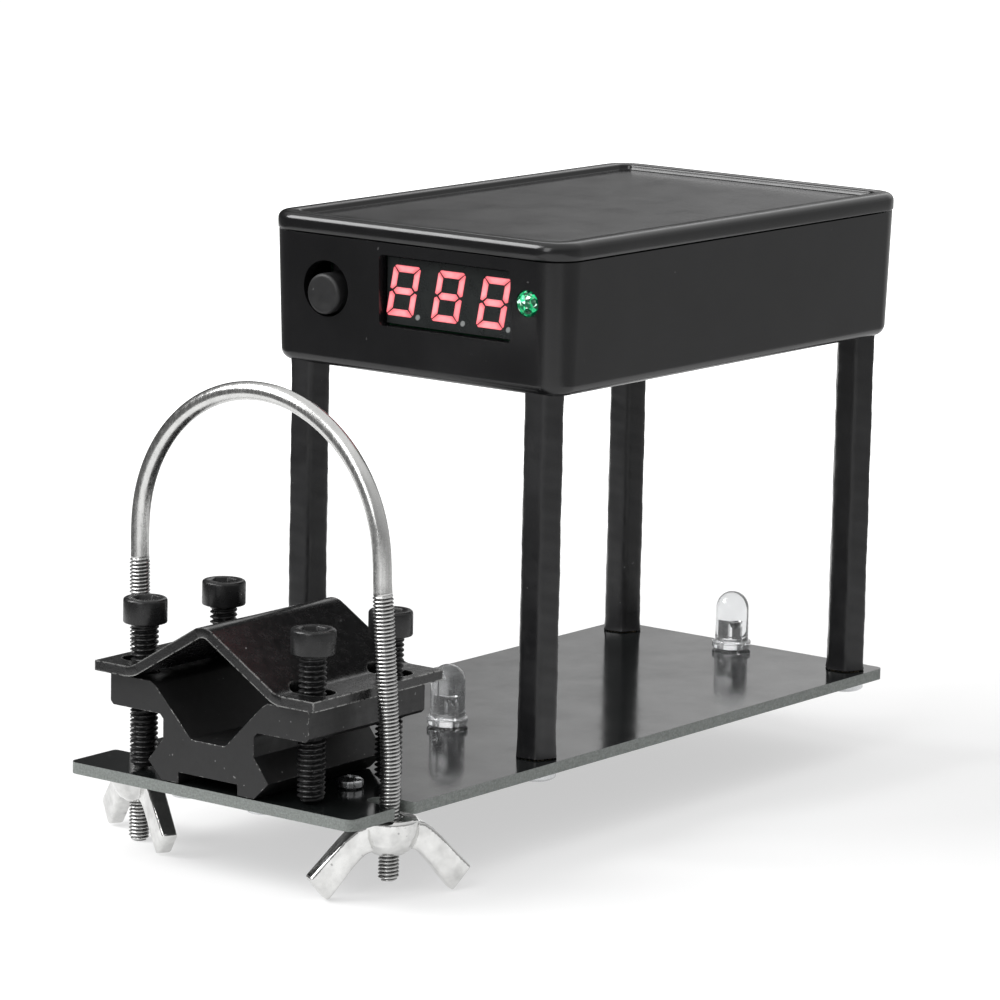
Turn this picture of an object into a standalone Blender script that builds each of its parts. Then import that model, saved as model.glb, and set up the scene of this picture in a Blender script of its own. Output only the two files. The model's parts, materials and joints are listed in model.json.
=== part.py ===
"""Two-beam shooting chronograph with a rail-foot barrel clamp and a U-bolt clamp.

Frame: metres, +Z up, +X from the clamp end to the rear, +Y to the left.
The origin is the centre of the base plate's underside.
"""
import math

import bmesh
import bpy
from mathutils import Matrix, Vector

for old in list(bpy.data.objects):
    bpy.data.objects.remove(old, do_unlink=True)

MM = 0.001

# base plate
PLATE_LENGTH = 125.6
PLATE_WIDTH = 49.2
PLATE_THICK = 1.6
PLATE_CORNER = 1.2
SLOT_X = -51.4
SLOT_WIDTH = 3.9
SLOT_INNER_Y = 18.6
TOP = PLATE_THICK

# clamp block, cut from a rail-foot extrusion
BLOCK_X = -50.55
BLOCK_LENGTH = 24.4
WING_HALF = 17.25
WING_LOW = TOP + 9.1
WING_HIGH = TOP + 13.35
FOOT_HALF = 10.5

# bent clamp jaw
JAW_X = -50.4
JAW_LENGTH = 27.2
JAW_HALF = 19.0
JAW_THICK = 1.4
JAW_LOW = WING_HIGH + 0.3
JAW_RISE = 7.2

# clamp screws
SCREW_XS = (-58.85, -42.65)
SCREW_Y = 14.6
SCREW_R = 1.85
SCREW_HEAD_R = 3.0
SCREW_HEAD_LOW = TOP + 20.1
SCREW_HEAD_H = 3.4
SCREW_TIP = TOP + 0.5

# U-bolt and wing nuts
ROD_R = 1.4
LEG_Y = 21.9
ARCH_Y = 1.1
ARCH_Z = TOP + 31.1
ARCH_R = 21.1
LEG_STRAIGHT_Z = TOP + 6.0
NEAR_LEG_END = TOP - 10.6
FAR_LEG_END = TOP - 12.6
NUT_BORE_R = 1.75
NUT_TOP = -0.3
NEAR_NUT_TURN = math.radians(-30.5)
FAR_NUT_TURN = math.radians(63.0)

# posts
POST_XS = (-17.5, 58.5)
POST_Y = 20.5
SLEEVE_FLAT = 5.0
SLEEVE_WALL = 0.3
STANDOFF_FLAT = 4.2
CASE_LOW = 52.0
POST_HOLE_R = 1.6
POST_SCREW_R = 1.2

# case
CASE_X = 20.4
CASE_LENGTH = 83.6
CASE_WIDTH = 51.5
CASE_SPLIT = 70.5
CASE_TAPER = 0.6
CASE_CORNER = 4.5
WALL = 1.7
FLOOR = 2.0
LID_TOP = 73.0
LID_RIM = 3.0
LID_RECESS = 0.8

# beams
BEAM_XS = (-11.1, 58.4)
LED_R = 2.5
SENSOR_R = 1.45

# front panel
WINDOW_Y = -5.8
WINDOW_Z = 63.8
WINDOW_SIZE = (22.7, 9.9)
BUTTON_Y = 15.0
BUTTON_HOLE_Z = 63.0
BUTTON_Z = 62.3
BUTTON_HOLE_R = 3.95
BUTTON_R = 2.85
STATUS_Y = -20.0
STATUS_Z = 64.6

# inside the case
BOARD_LOW = 57.7
BOARD_THICK = 1.2
BOARD_SCREWS = [(x, y) for x in (-4.0, 52.0) for y in (-13.6, 13.6)]
COLUMN_R = 3.4
COLUMN_TOP = 58.9
FRONT_BOARD_X = -10.2

FRONT = CASE_X - CASE_LENGTH / 2

model = bpy.data.collections.new("barrel_chronograph")
guides = bpy.data.collections.new("cutters")
bpy.context.scene.collection.children.link(model)
bpy.context.scene.collection.children.link(guides)


def material(name, colour, rough, metal=0.0, glow=None):
    mat = bpy.data.materials.new(name)
    mat.use_nodes = True
    shader = mat.node_tree.nodes["Principled BSDF"]
    shader.inputs["Base Color"].default_value = (*colour, 1.0)
    shader.inputs["Roughness"].default_value = rough
    shader.inputs["Metallic"].default_value = metal
    if glow:
        shader.inputs["Emission Color"].default_value = (*glow, 1.0)
        shader.inputs["Emission Strength"].default_value = 1.0
    return mat


MATS = {
    "plate": material("plate", (0.02, 0.022, 0.022), 0.12),
    "anodised": material("anodised", (0.02, 0.02, 0.022), 0.45, 0.7),
    "jaw": material("jaw", (0.03, 0.03, 0.03), 0.3, 0.6),
    "black_oxide": material("black_oxide", (0.02, 0.02, 0.02), 0.4, 0.8),
    "steel": material("steel", (0.62, 0.62, 0.6), 0.25, 1.0),
    "nickel": material("nickel", (0.75, 0.75, 0.74), 0.15, 1.0),
    "zinc": material("zinc", (0.6, 0.6, 0.6), 0.3, 1.0),
    "brass": material("brass", (0.7, 0.5, 0.22), 0.3, 1.0),
    "sleeve": material("sleeve", (0.015, 0.015, 0.016), 0.4),
    "case": material("case", (0.018, 0.018, 0.019), 0.35),
    "lid": material("lid", (0.016, 0.016, 0.017), 0.25),
    "button": material("button", (0.035, 0.035, 0.036), 0.5),
    "clear": material("clear", (0.85, 0.87, 0.88), 0.05),
    "display": material("display", (0.04, 0.04, 0.04), 0.3, 0.0, (0.5, 0.05, 0.05)),
    "green": material("green", (0.05, 0.6, 0.25), 0.1, 0.0, (0.0, 0.4, 0.15)),
    "board": material("board", (0.02, 0.12, 0.05), 0.4),
    "chip": material("chip", (0.015, 0.015, 0.015), 0.5),
    "holder": material("holder", (0.02, 0.02, 0.02), 0.5),
    "cell": material("cell", (0.3, 0.32, 0.34), 0.35, 0.4),
    "red_wire": material("red_wire", (0.5, 0.02, 0.02), 0.4),
    "black_wire": material("black_wire", (0.01, 0.01, 0.01), 0.4),
}


def put(obj, collection):
    for other in list(obj.users_collection):
        other.objects.unlink(obj)
    collection.objects.link(obj)


def finish(obj, name, mat, smooth=True):
    """Name a part, give it its material and shade it."""
    obj.name = name
    obj.data.name = name
    obj.data.materials.clear()
    obj.data.materials.append(MATS[mat])
    if smooth:
        obj.data.shade_smooth()
        obj.data.set_sharp_from_angle(angle=math.radians(35))
    put(obj, model)
    return obj


def guide(obj, name):
    obj.name = name
    obj.hide_render = True
    obj.display_type = "WIRE"
    put(obj, guides)
    return obj


def apply_scale(obj):
    obj.data.transform(Matrix.Diagonal((*obj.scale, 1.0)))
    obj.scale = (1.0, 1.0, 1.0)


def box(low, high):
    """A box between two corners, in millimetres, with its origin at its centre."""
    size = [(b - a) * MM for a, b in zip(low, high)]
    centre = [(a + b) / 2 * MM for a, b in zip(low, high)]
    bpy.ops.mesh.primitive_cube_add(size=1.0, location=centre)
    obj = bpy.context.object
    obj.scale = size
    apply_scale(obj)
    return obj


def cylinder(radius, start, length, axis="Z", sides=20, turn=0.0):
    """A cylinder from start along +axis, in millimetres."""
    direction = Vector({"X": (1, 0, 0), "Y": (0, 1, 0), "Z": (0, 0, 1)}[axis])
    centre = (Vector(start) + direction * length / 2) * MM
    bpy.ops.mesh.primitive_cylinder_add(
        vertices=sides, radius=radius * MM, depth=length * MM, location=centre)
    obj = bpy.context.object
    if turn:
        obj.data.transform(Matrix.Rotation(turn, 4, "Z"))
    if axis == "X":
        obj.data.transform(Matrix.Rotation(math.pi / 2, 4, "Y"))
    if axis == "Y":
        obj.data.transform(Matrix.Rotation(-math.pi / 2, 4, "X"))
    return obj


def turned(profile, location, axis="Z", steps=24):
    """Turn a closed outline of (radius, height) points about its axis.

    The outline starts and ends on the axis, and runs down its outer side.
    """
    mesh = bpy.data.meshes.new("turned")
    verts = [(r * MM, 0.0, z * MM) for r, z in profile]
    mesh.from_pydata(verts, [(i, i + 1) for i in range(len(verts) - 1)], [])
    obj = bpy.data.objects.new("turned", mesh)
    bpy.context.scene.collection.objects.link(obj)
    obj.location = [v * MM for v in location]
    if axis == "-X":
        mesh.transform(Matrix.Rotation(0.0, 4, "Y"))
        obj.rotation_euler = (0.0, -math.pi / 2, 0.0)
    screw = obj.modifiers.new("Turn", "SCREW")
    screw.axis = "Z"
    screw.steps = steps
    screw.render_steps = steps
    screw.use_merge_vertices = True
    screw.merge_threshold = 0.00001
    screw.use_smooth_shade = True
    return obj


def outline(points, thick, plane, location, holes=()):
    """A flat outline made solid: a filled 2D curve with its thickness as extrude.

    plane "XY" leaves it lying flat, "YZ" stands it up across X.
    """
    curve = bpy.data.curves.new("outline", "CURVE")
    curve.dimensions = "2D"
    curve.fill_mode = "BOTH"
    curve.extrude = thick / 2 * MM
    for ring in (points, *holes):
        spline = curve.splines.new("POLY")
        spline.points.add(len(ring) - 1)
        for point, (a, b) in zip(spline.points, ring):
            point.co = (a * MM, b * MM, 0.0, 1.0)
        spline.use_cyclic_u = True
    obj = bpy.data.objects.new("outline", curve)
    bpy.context.scene.collection.objects.link(obj)
    if plane == "YZ":
        obj.rotation_euler = (math.pi / 2, 0.0, math.pi / 2)
    if plane == "XZ":
        obj.rotation_euler = (math.pi / 2, 0.0, 0.0)
    obj.location = [v * MM for v in location]
    return as_mesh(obj)


def as_mesh(obj):
    """A curve's evaluated shape as a mesh object with its caps welded on."""
    bpy.context.view_layer.update()
    graph = bpy.context.evaluated_depsgraph_get()
    mesh = bpy.data.meshes.new_from_object(obj.evaluated_get(graph))
    work = bmesh.new()
    work.from_mesh(mesh)
    bmesh.ops.remove_doubles(work, verts=work.verts, dist=0.000002)
    bmesh.ops.recalc_face_normals(work, faces=work.faces)
    work.to_mesh(mesh)
    work.free()
    made = bpy.data.objects.new(obj.name, mesh)
    made.matrix_world = obj.matrix_world
    bpy.context.scene.collection.objects.link(made)
    bpy.data.objects.remove(obj, do_unlink=True)
    return made


def tube(points, radius, resolution=2):
    """A round rod along points, with filled ends."""
    curve = bpy.data.curves.new("tube", "CURVE")
    curve.dimensions = "3D"
    curve.bevel_depth = radius * MM
    curve.bevel_resolution = resolution
    curve.use_fill_caps = True
    spline = curve.splines.new("POLY")
    spline.points.add(len(points) - 1)
    for point, co in zip(spline.points, points):
        point.co = (*[v * MM for v in co], 1.0)
    obj = bpy.data.objects.new("tube", curve)
    bpy.context.scene.collection.objects.link(obj)
    return as_mesh(obj)


def boolean(obj, other, operation="DIFFERENCE"):
    mod = obj.modifiers.new(operation.title(), "BOOLEAN")
    mod.operation = operation
    mod.solver = "EXACT"
    mod.object = other


def cut(obj, cutter, name):
    boolean(obj, guide(cutter, name))


def join(obj, other, name):
    boolean(obj, guide(other, name), "UNION")


def set_origin(obj, point):
    """Move an unrotated object's origin to a point, leaving its shape where it is."""
    target = Vector([v * MM for v in point])
    obj.data.transform(Matrix.Translation(obj.location - target))
    obj.location = target


def round_edges(obj, chooser, width, segments):
    """Bevel the edges that chooser picks from each edge's end points."""
    work = bmesh.new()
    work.from_mesh(obj.data)
    edges = [e for e in work.edges if chooser(*[v.co for v in e.verts])]
    bmesh.ops.bevel(work, geom=edges, offset=width * MM, segments=segments,
                    profile=0.5, affect="EDGES", clamp_overlap=True)
    work.to_mesh(obj.data)
    work.free()


def upright(a, b):
    return abs(a.z - b.z) > 0.4 * (a - b).length


def arc(cx, cy, radius, start, end, count):
    """Points on an arc, angles in degrees."""
    return [(cx + radius * math.cos(math.radians(start + (end - start) * i / count)),
             cy + radius * math.sin(math.radians(start + (end - start) * i / count)))
            for i in range(count + 1)]


def mirrored(half):
    """A whole outline from its right half, which runs from the bottom up."""
    return half + [(-a, b) for a, b in reversed(half)]


# ---- base plate -------------------------------------------------------------
def plate_outline():
    """Half of the plate's edge on the +Y side, from the rear to the front."""
    rear, front = PLATE_LENGTH / 2, -PLATE_LENGTH / 2
    side, c = PLATE_WIDTH / 2, PLATE_CORNER
    slot, middle = SLOT_WIDTH / 2, SLOT_INNER_Y + SLOT_WIDTH / 2
    lip = 0.5
    half = arc(rear - c, side - c, c, 0, 90, 4)
    half += arc(SLOT_X + slot + lip, side - lip, lip, 90, 180, 2)
    half += [(a, b) for a, b in arc(SLOT_X, middle, slot, 0, -180, 10)]
    half += arc(SLOT_X - slot - lip, side - lip, lip, 0, 90, 2)
    half += arc(front + c, side - c, c, 90, 180, 4)
    return half + [(a, -b) for a, b in reversed(half)]


def make_plate():
    plate = outline(plate_outline(), PLATE_THICK, "XY", (0, 0, PLATE_THICK / 2))
    spots = [(x, y, POST_HOLE_R) for x in POST_XS for y in (-POST_Y, POST_Y)]
    spots += [(x, y, 0.55) for x in BEAM_XS for y in (-1.27, 1.27)]
    spots += [(x, y, 1.3) for x, y in BLOCK_SCREW_SPOTS]
    spots += [(x, y, 1.3) for x, y in PLATE_SCREW_SPOTS]
    for index, (x, y, radius) in enumerate(spots):
        drill = cylinder(radius, (x, y, -1.0), PLATE_THICK + 2.0, sides=16)
        cut(plate, drill, f"plate_hole_{index}")
    return finish(plate, "base_plate", "plate", smooth=False)


BLOCK_SCREW_SPOTS = [(x, y) for x in (-59.0, -42.2) for y in (-6.6, 6.6)]
PLATE_SCREW_SPOTS = [(-48.6, -12.9), (-48.6, 12.9)]


# ---- clamp block and jaw ------------------------------------------------------
def make_block():
    """The extrusion's section: rail foot, waist, two wings and a V seat."""
    half = [(5.15, TOP + 0.1), (8.0, TOP + 0.1), (FOOT_HALF, TOP + 2.5), (7.9, TOP + 5.75),
            (7.9, WING_LOW - 0.6), (8.5, WING_LOW), (WING_HALF - 0.5, WING_LOW),
            (WING_HALF, WING_LOW + 0.5), (WING_HALF, WING_HIGH), (10.2, WING_HIGH),
            (9.2, WING_HIGH - 0.6), (3.1, TOP + 6.6), (2.6, TOP + 6.4)]
    ring = [(5.15, TOP + 1.6)] + half
    whole = ring + [(-a, b) for a, b in reversed(ring)]
    block = outline(whole, BLOCK_LENGTH, "YZ", (BLOCK_X, 0, 0))
    for i, x in enumerate(SCREW_XS):
        for j, y in enumerate((-SCREW_Y, SCREW_Y)):
            drill = cylinder(SCREW_R + 0.28, (x, y, WING_LOW - 1), 6.5, sides=18)
            cut(block, drill, f"block_hole_{i}{j}")
    for i, (x, y) in enumerate(BLOCK_SCREW_SPOTS):
        drill = cylinder(1.3, (x, y, TOP - 1), 6.0, sides=12)
        cut(block, drill, f"block_foot_hole_{i}")
    return finish(block, "clamp_block", "anodised")


def jaw_centre_line():
    """The right half of the bent strip's middle line, from the tip to the ridge."""
    mid = JAW_LOW + JAW_THICK / 2
    top = mid + JAW_RISE
    slope = math.atan2(JAW_RISE - 0.55, 12.6)
    bend, crown = 4.0, 2.2
    foot_y = 12.6 + bend * math.tan(slope / 2)
    line = [(JAW_HALF, mid)]
    line += [(foot_y + bend * -math.sin(a), mid + bend * (1 - math.cos(a)))
             for a in [slope * i / 4 for i in range(5)]]
    start = crown * math.sin(slope)
    line += [(crown * math.sin(a), top - crown * (1 - math.cos(a)))
             for a in [slope * (3 - i) / 3 for i in range(3)]]
    line[-3] = (start, top - crown * (1 - math.cos(slope)))
    return line + [(0.0, top)]


def make_jaw():
    right = jaw_centre_line()
    line = right + [(-a, b) for a, b in reversed(right[:-1])]
    outer, inner = [], []
    for i, (a, b) in enumerate(line):
        before = line[max(i - 1, 0)]
        after = line[min(i + 1, len(line) - 1)]
        along = Vector((after[0] - before[0], after[1] - before[1])).normalized()
        side = Vector((-along.y, along.x)) * JAW_THICK / 2
        outer.append((a - side.x, b - side.y))
        inner.append((a + side.x, b + side.y))
    jaw = outline(outer + inner[::-1], JAW_LENGTH, "YZ", (JAW_X, 0, 0))
    for i, x in enumerate(SCREW_XS):
        for j, y in enumerate((-SCREW_Y, SCREW_Y)):
            slot = box((x - 2.3, y - 1.0, JAW_LOW - 2), (x + 2.3, y + 1.0, JAW_LOW + 3))
            cut(jaw, slot, f"jaw_slot_{i}{j}")
            for k, shift in enumerate((-1.0, 1.0)):
                end = cylinder(2.3, (x, y + shift, JAW_LOW - 2), 5.0, sides=20)
                cut(jaw, end, f"jaw_slot_end_{i}{j}{k}")
    return finish(jaw, "clamp_jaw", "jaw")


def make_clamp_screw(name, x, y):
    """A socket head cap screw on its own turning axis."""
    head = SCREW_HEAD_LOW + SCREW_HEAD_H
    profile = [(0.0, head), (SCREW_HEAD_R - 0.4, head), (SCREW_HEAD_R, head - 0.4),
               (SCREW_HEAD_R, SCREW_HEAD_LOW), (SCREW_R, SCREW_HEAD_LOW),
               (SCREW_R, SCREW_TIP + 0.4), (SCREW_R - 0.4, SCREW_TIP), (0.0, SCREW_TIP)]
    screw = turned(profile, (x, y, 0), steps=20)
    socket = cylinder(1.75, (x, y, head - 1.9), 3.0, sides=6)
    cut(screw, socket, name + "_socket")
    return finish(screw, name, "black_oxide")


# ---- U-bolt and wing nuts ---------------------------------------------------
def make_u_bolt():
    """Two legs that lean together into a half-round arch."""
    x = SLOT_X
    near, far = ARCH_Y - ARCH_R, ARCH_Y + ARCH_R
    path = [(x, -LEG_Y, NEAR_LEG_END), (x, -LEG_Y, LEG_STRAIGHT_Z - 1.5),
            (x, -LEG_Y + 0.04, LEG_STRAIGHT_Z)]
    path += [(x, near - 0.06, ARCH_Z - 2.0)]
    path += [(x, a, b) for a, b in arc(ARCH_Y, ARCH_Z, ARCH_R, 180, 0, 28)]
    path += [(x, far, ARCH_Z - 2.0)]
    path += [(x, LEG_Y + 0.02, LEG_STRAIGHT_Z), (x, LEG_Y, LEG_STRAIGHT_Z - 1.5),
             (x, LEG_Y, FAR_LEG_END)]
    bolt = tube(path, ROD_R, 2)
    return finish(bolt, "u_bolt", "steel")


def make_wing_nut(name, y, turn):
    """Hub with two swept wings, upside down under the plate, on its thread axis."""
    hub = turned([(0.0, NUT_TOP), (3.9, NUT_TOP), (3.9, NUT_TOP - 1.0), (3.75, NUT_TOP - 3.4),
                  (3.0, NUT_TOP - 4.7), (2.5, NUT_TOP - 5.0), (0.0, NUT_TOP - 5.0)],
                 (SLOT_X, y, 0), steps=24)
    wing = [(2.4, -0.8), (4.6, -0.9), (6.4, -2.1), (11.3, -7.3), (11.5, -7.9), (9.0, -10.6),
            (8.5, -10.6), (5.4, -6.6), (4.0, -5.0), (2.4, -4.4)]
    for side, sign in (("a", 1), ("b", -1)):
        points = [(sign * a, NUT_TOP + b) for a, b in wing]
        flap = outline(points, 2.3, "XZ", (SLOT_X, y, 0))
        flap.rotation_euler.z = turn
        join(hub, flap, f"{name}_wing_{side}")
    bore = cylinder(NUT_BORE_R, (SLOT_X, y, NUT_TOP - 8), 9.0, sides=20)
    cut(hub, bore, name + "_bore")
    return finish(hub, name, "nickel")


# ---- posts and their screws ----------------------------------------------------
def hexagon(flat, start, length):
    return cylinder(flat / math.sqrt(3), start, length, sides=6, turn=math.radians(8))


def make_post(tag, x, y):
    low, high = TOP + 0.2, CASE_LOW - 0.2
    standoff = hexagon(STANDOFF_FLAT, (x, y, low), high - low)
    cut(standoff, cylinder(1.5, (x, y, low - 1.0), 9.0, sides=12), "standoff_bore_" + tag)
    join(standoff, cylinder(1.3, (x, y, high - 1.0), 6.6, sides=12), "standoff_stud_" + tag)
    finish(standoff, "standoff_" + tag, "brass", smooth=False)
    sleeve = hexagon(SLEEVE_FLAT, (x, y, low), high - low - 0.4)
    bore = hexagon(SLEEVE_FLAT - 2 * SLEEVE_WALL, (x, y, low - 1), high - low + 2)
    cut(sleeve, bore, f"sleeve_bore_{tag}")
    finish(sleeve, "sleeve_" + tag, "sleeve", smooth=False)


def pan_screw(x, y, seat, head_r, head_h, shank_r, shank, up):
    """A pan head screw whose head sits at seat, its shank pointing up or down."""
    s = 1 if up else -1
    rim = seat - s * head_h
    profile = [(0.0, seat + s * shank), (shank_r, seat + s * shank), (shank_r, seat),
               (head_r, seat), (head_r, seat - s * head_h * 0.55),
               (head_r - 0.5, rim + s * 0.12), (head_r * 0.5, rim), (0.0, rim)]
    if not up:
        profile.reverse()
    return turned(profile, (x, y, 0), steps=16)


def make_fasteners():
    for i, x in enumerate(POST_XS):
        for j, y in enumerate((-POST_Y, POST_Y)):
            tag = ("front", "rear")[i] + "_" + ("right", "left")[j]
            foot = pan_screw(x, y, -0.15, 2.75, 1.6, POST_SCREW_R, 7.5, True)
            finish(foot, "foot_screw_" + tag, "zinc")
    for i, (x, y) in enumerate(BLOCK_SCREW_SPOTS):
        finish(pan_screw(x, y, -0.15, 2.2, 0.8, 1.0, 5.5, True), f"block_screw_{i + 1}", "zinc")
    for i, (x, y) in enumerate(PLATE_SCREW_SPOTS):
        screw = pan_screw(x, y, TOP + 0.15, 1.8, 1.4, 1.0, 3.2, False)
        finish(screw, f"plate_screw_{i + 1}", "zinc")
    for i, (x, y) in enumerate(BOARD_SCREWS):
        screw = pan_screw(x, y, BOARD_LOW + BOARD_THICK + 0.15, 1.9, 1.2, 0.9, 3.6, False)
        finish(screw, f"board_screw_{i + 1}", "zinc")


# ---- light beams ------------------------------------------------------------
def make_emitter(name, x):
    """A clear 5 mm lamp standing on the plate, with its two leads through it."""
    low = TOP + 0.3
    dome = [(LED_R * math.sin(math.radians(a)), low + 6.0 + LED_R * math.cos(math.radians(a)))
            for a in range(0, 91, 18)]
    lens = turned(dome + [(LED_R, low + 1.0), (2.9, low + 1.0), (2.9, low), (0.0, low)],
                  (x, 0, 0), steps=20)
    for tag, y in (("a", -1.27), ("b", 1.27)):
        lead = cylinder(0.25, (x, y, -1.0), low + 1.6, sides=8)
        join(lens, lead, f"{name}_lead_{tag}")
    return finish(lens, name, "clear")


def make_sensor(name, x):
    """A dark lens looking down through the case floor at the lamp below it."""
    high = BOARD_LOW - 0.15
    dome = [(SENSOR_R * math.sin(math.radians(a)),
             high - 3.6 - SENSOR_R * math.cos(math.radians(a))) for a in range(90, -1, -30)]
    lens = turned([(0.0, high), (SENSOR_R, high)] + dome, (x, 0, 0), steps=16)
    return finish(lens, name, "chip")


# ---- case --------------------------------------------------------------------
def rounded_box(length, width, low, high, corner, taper):
    """A box with rounded upright edges whose foot is drawn in by the taper."""
    shell = box((CASE_X - length / 2, -width / 2, low), (CASE_X + length / 2, width / 2, high))
    for vert in shell.data.vertices:
        if vert.co.z < 0:
            vert.co.x -= math.copysign(taper * MM, vert.co.x)
            vert.co.y -= math.copysign(taper * MM, vert.co.y)
    round_edges(shell, upright, corner, 5)
    return shell


def low_edges(a, b):
    return a.z < 0 and b.z < 0 and abs(a.z - b.z) < 1e-6


def high_edges(a, b):
    return a.z > 0 and b.z > 0 and abs(a.z - b.z) < 1e-6


def make_case():
    case = rounded_box(CASE_LENGTH, CASE_WIDTH, CASE_LOW, CASE_SPLIT - 0.1, CASE_CORNER,
                       CASE_TAPER)
    round_edges(case, low_edges, 2.2, 3)
    hollow = rounded_box(CASE_LENGTH - 2 * WALL, CASE_WIDTH - 2 * WALL, CASE_LOW + FLOOR,
                         CASE_SPLIT + 3, CASE_CORNER - WALL, CASE_TAPER)
    cut(case, hollow, "case_hollow")
    for i, (x, y) in enumerate(BOARD_SCREWS):
        boss = cylinder(2.4, (x, y, CASE_LOW + FLOOR - 0.5), 4.0, sides=16)
        join(case, boss, f"case_boss_{i}")
        cut(case, cylinder(1.2, (x, y, CASE_LOW + FLOOR + 0.6), 6.0, sides=12),
            f"case_boss_hole_{i}")
    for i, x in enumerate(POST_XS):
        for j, y in enumerate((-POST_Y, POST_Y)):
            column = cylinder(COLUMN_R, (x, y, CASE_LOW + 1.0), COLUMN_TOP - CASE_LOW - 1, sides=20)
            join(case, column, f"case_column_{i}{j}")
            cut(case, cylinder(POST_HOLE_R, (x, y, CASE_LOW - 2), 12.0, sides=14),
                f"case_post_hole_{i}{j}")
    for i, x in enumerate(BEAM_XS):
        cut(case, cylinder(SENSOR_R + 0.3, (x, 0, CASE_LOW - 2), 6.0, sides=16),
            f"case_beam_hole_{i}")
    width, height = WINDOW_SIZE
    window = box((FRONT - 2, WINDOW_Y - width / 2, WINDOW_Z - height / 2),
                 (FRONT + 5, WINDOW_Y + width / 2, WINDOW_Z + height / 2))
    cut(case, window, "case_window")
    cut(case, cylinder(BUTTON_HOLE_R, (FRONT - 2, BUTTON_Y, BUTTON_HOLE_Z), 7.0, "X", 32),
        "case_button_hole")
    cut(case, cylinder(1.85, (FRONT - 2, STATUS_Y, STATUS_Z), 7.0, "X", 20),
        "case_status_hole")
    return finish(case, "case_body", "case")


def make_lid():
    """A plate with a raised round rim, a sunk panel and a locating lip below."""
    lid = rounded_box(CASE_LENGTH + 0.3, CASE_WIDTH + 0.3, CASE_SPLIT + 0.1, LID_TOP,
                      CASE_CORNER + 0.15, 0.0)
    round_edges(lid, high_edges, 1.1, 3)
    panel = rounded_box(CASE_LENGTH - 2 * LID_RIM, CASE_WIDTH - 2 * LID_RIM,
                        LID_TOP - LID_RECESS, LID_TOP + 2, 2.2, 0.0)
    cut(lid, panel, "lid_panel")
    under = rounded_box(CASE_LENGTH - 2 * WALL - 3.2, CASE_WIDTH - 2 * WALL - 3.2,
                        CASE_SPLIT - 3, CASE_SPLIT + 0.9, CASE_CORNER - WALL - 1.0, 0.0)
    lip = rounded_box(CASE_LENGTH - 2 * WALL - 0.9, CASE_WIDTH - 2 * WALL - 0.9,
                      CASE_SPLIT - 0.9, CASE_SPLIT + 0.6, CASE_CORNER - WALL - 0.2, 0.0)
    join(lid, lip, "lid_lip")
    cut(lid, under, "lid_hollow")
    return finish(lid, "case_lid", "lid")


# ---- front panel pieces ---------------------------------------------------------
def make_front():
    board = box((FRONT_BOARD_X, -23.0, BOARD_LOW + BOARD_THICK + 0.15),
                (FRONT_BOARD_X + 1.2, 23.0, 69.1))
    finish(board, "front_board", "board", smooth=False)
    face = FRONT + 1.45
    display = box((face, WINDOW_Y - 11.0, WINDOW_Z - 4.7),
                  (face + 6.1, WINDOW_Y + 11.0, WINDOW_Z + 4.7))
    finish(display, "display", "display", smooth=False)
    socket = box((face + 6.25, WINDOW_Y - 10.2, WINDOW_Z - 4.2),
                 (FRONT_BOARD_X - 0.15, WINDOW_Y + 10.2, WINDOW_Z + 4.2))
    finish(socket, "display_socket", "chip", smooth=False)

    tip = FRONT - 0.5
    profile = [(0.0, 0.0), (BUTTON_R - 0.45, 0.0), (BUTTON_R, -0.45), (BUTTON_R, -4.2),
               (1.3, -4.2), (1.3, -7.6), (0.0, -7.6)]
    button = turned(profile, (tip, BUTTON_Y, BUTTON_Z), "-X", steps=28)
    finish(button, "power_button", "button")
    body = box((tip + 6.2, BUTTON_Y - 3.1, BUTTON_Z - 3.1),
               (FRONT_BOARD_X - 0.15, BUTTON_Y + 3.1, BUTTON_Z + 3.1))
    cut(body, cylinder(1.6, (tip + 4.0, BUTTON_Y, BUTTON_Z), 7.0, "X", 16), "switch_bore")
    finish(body, "switch_body", "chip", smooth=False)

    lamp = [(1.5 * math.sin(math.radians(a)), -1.5 + 1.5 * math.cos(math.radians(a)))
            for a in range(0, 91, 30)]
    lamp += [(1.5, -4.3), (1.9, -4.3), (1.9, -5.3), (0.0, -5.3)]
    status = turned(lamp, (FRONT - 0.7, STATUS_Y, STATUS_Z), "-X", steps=16)
    for tag, y in (("a", -0.9), ("b", 0.9)):
        start = FRONT + 4.0
        lead = cylinder(0.25, (start, STATUS_Y + y, STATUS_Z),
                        FRONT_BOARD_X - 0.15 - start, "X", 8)
        join(status, lead, f"status_lead_{tag}")
    finish(status, "status_led", "green")


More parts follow.
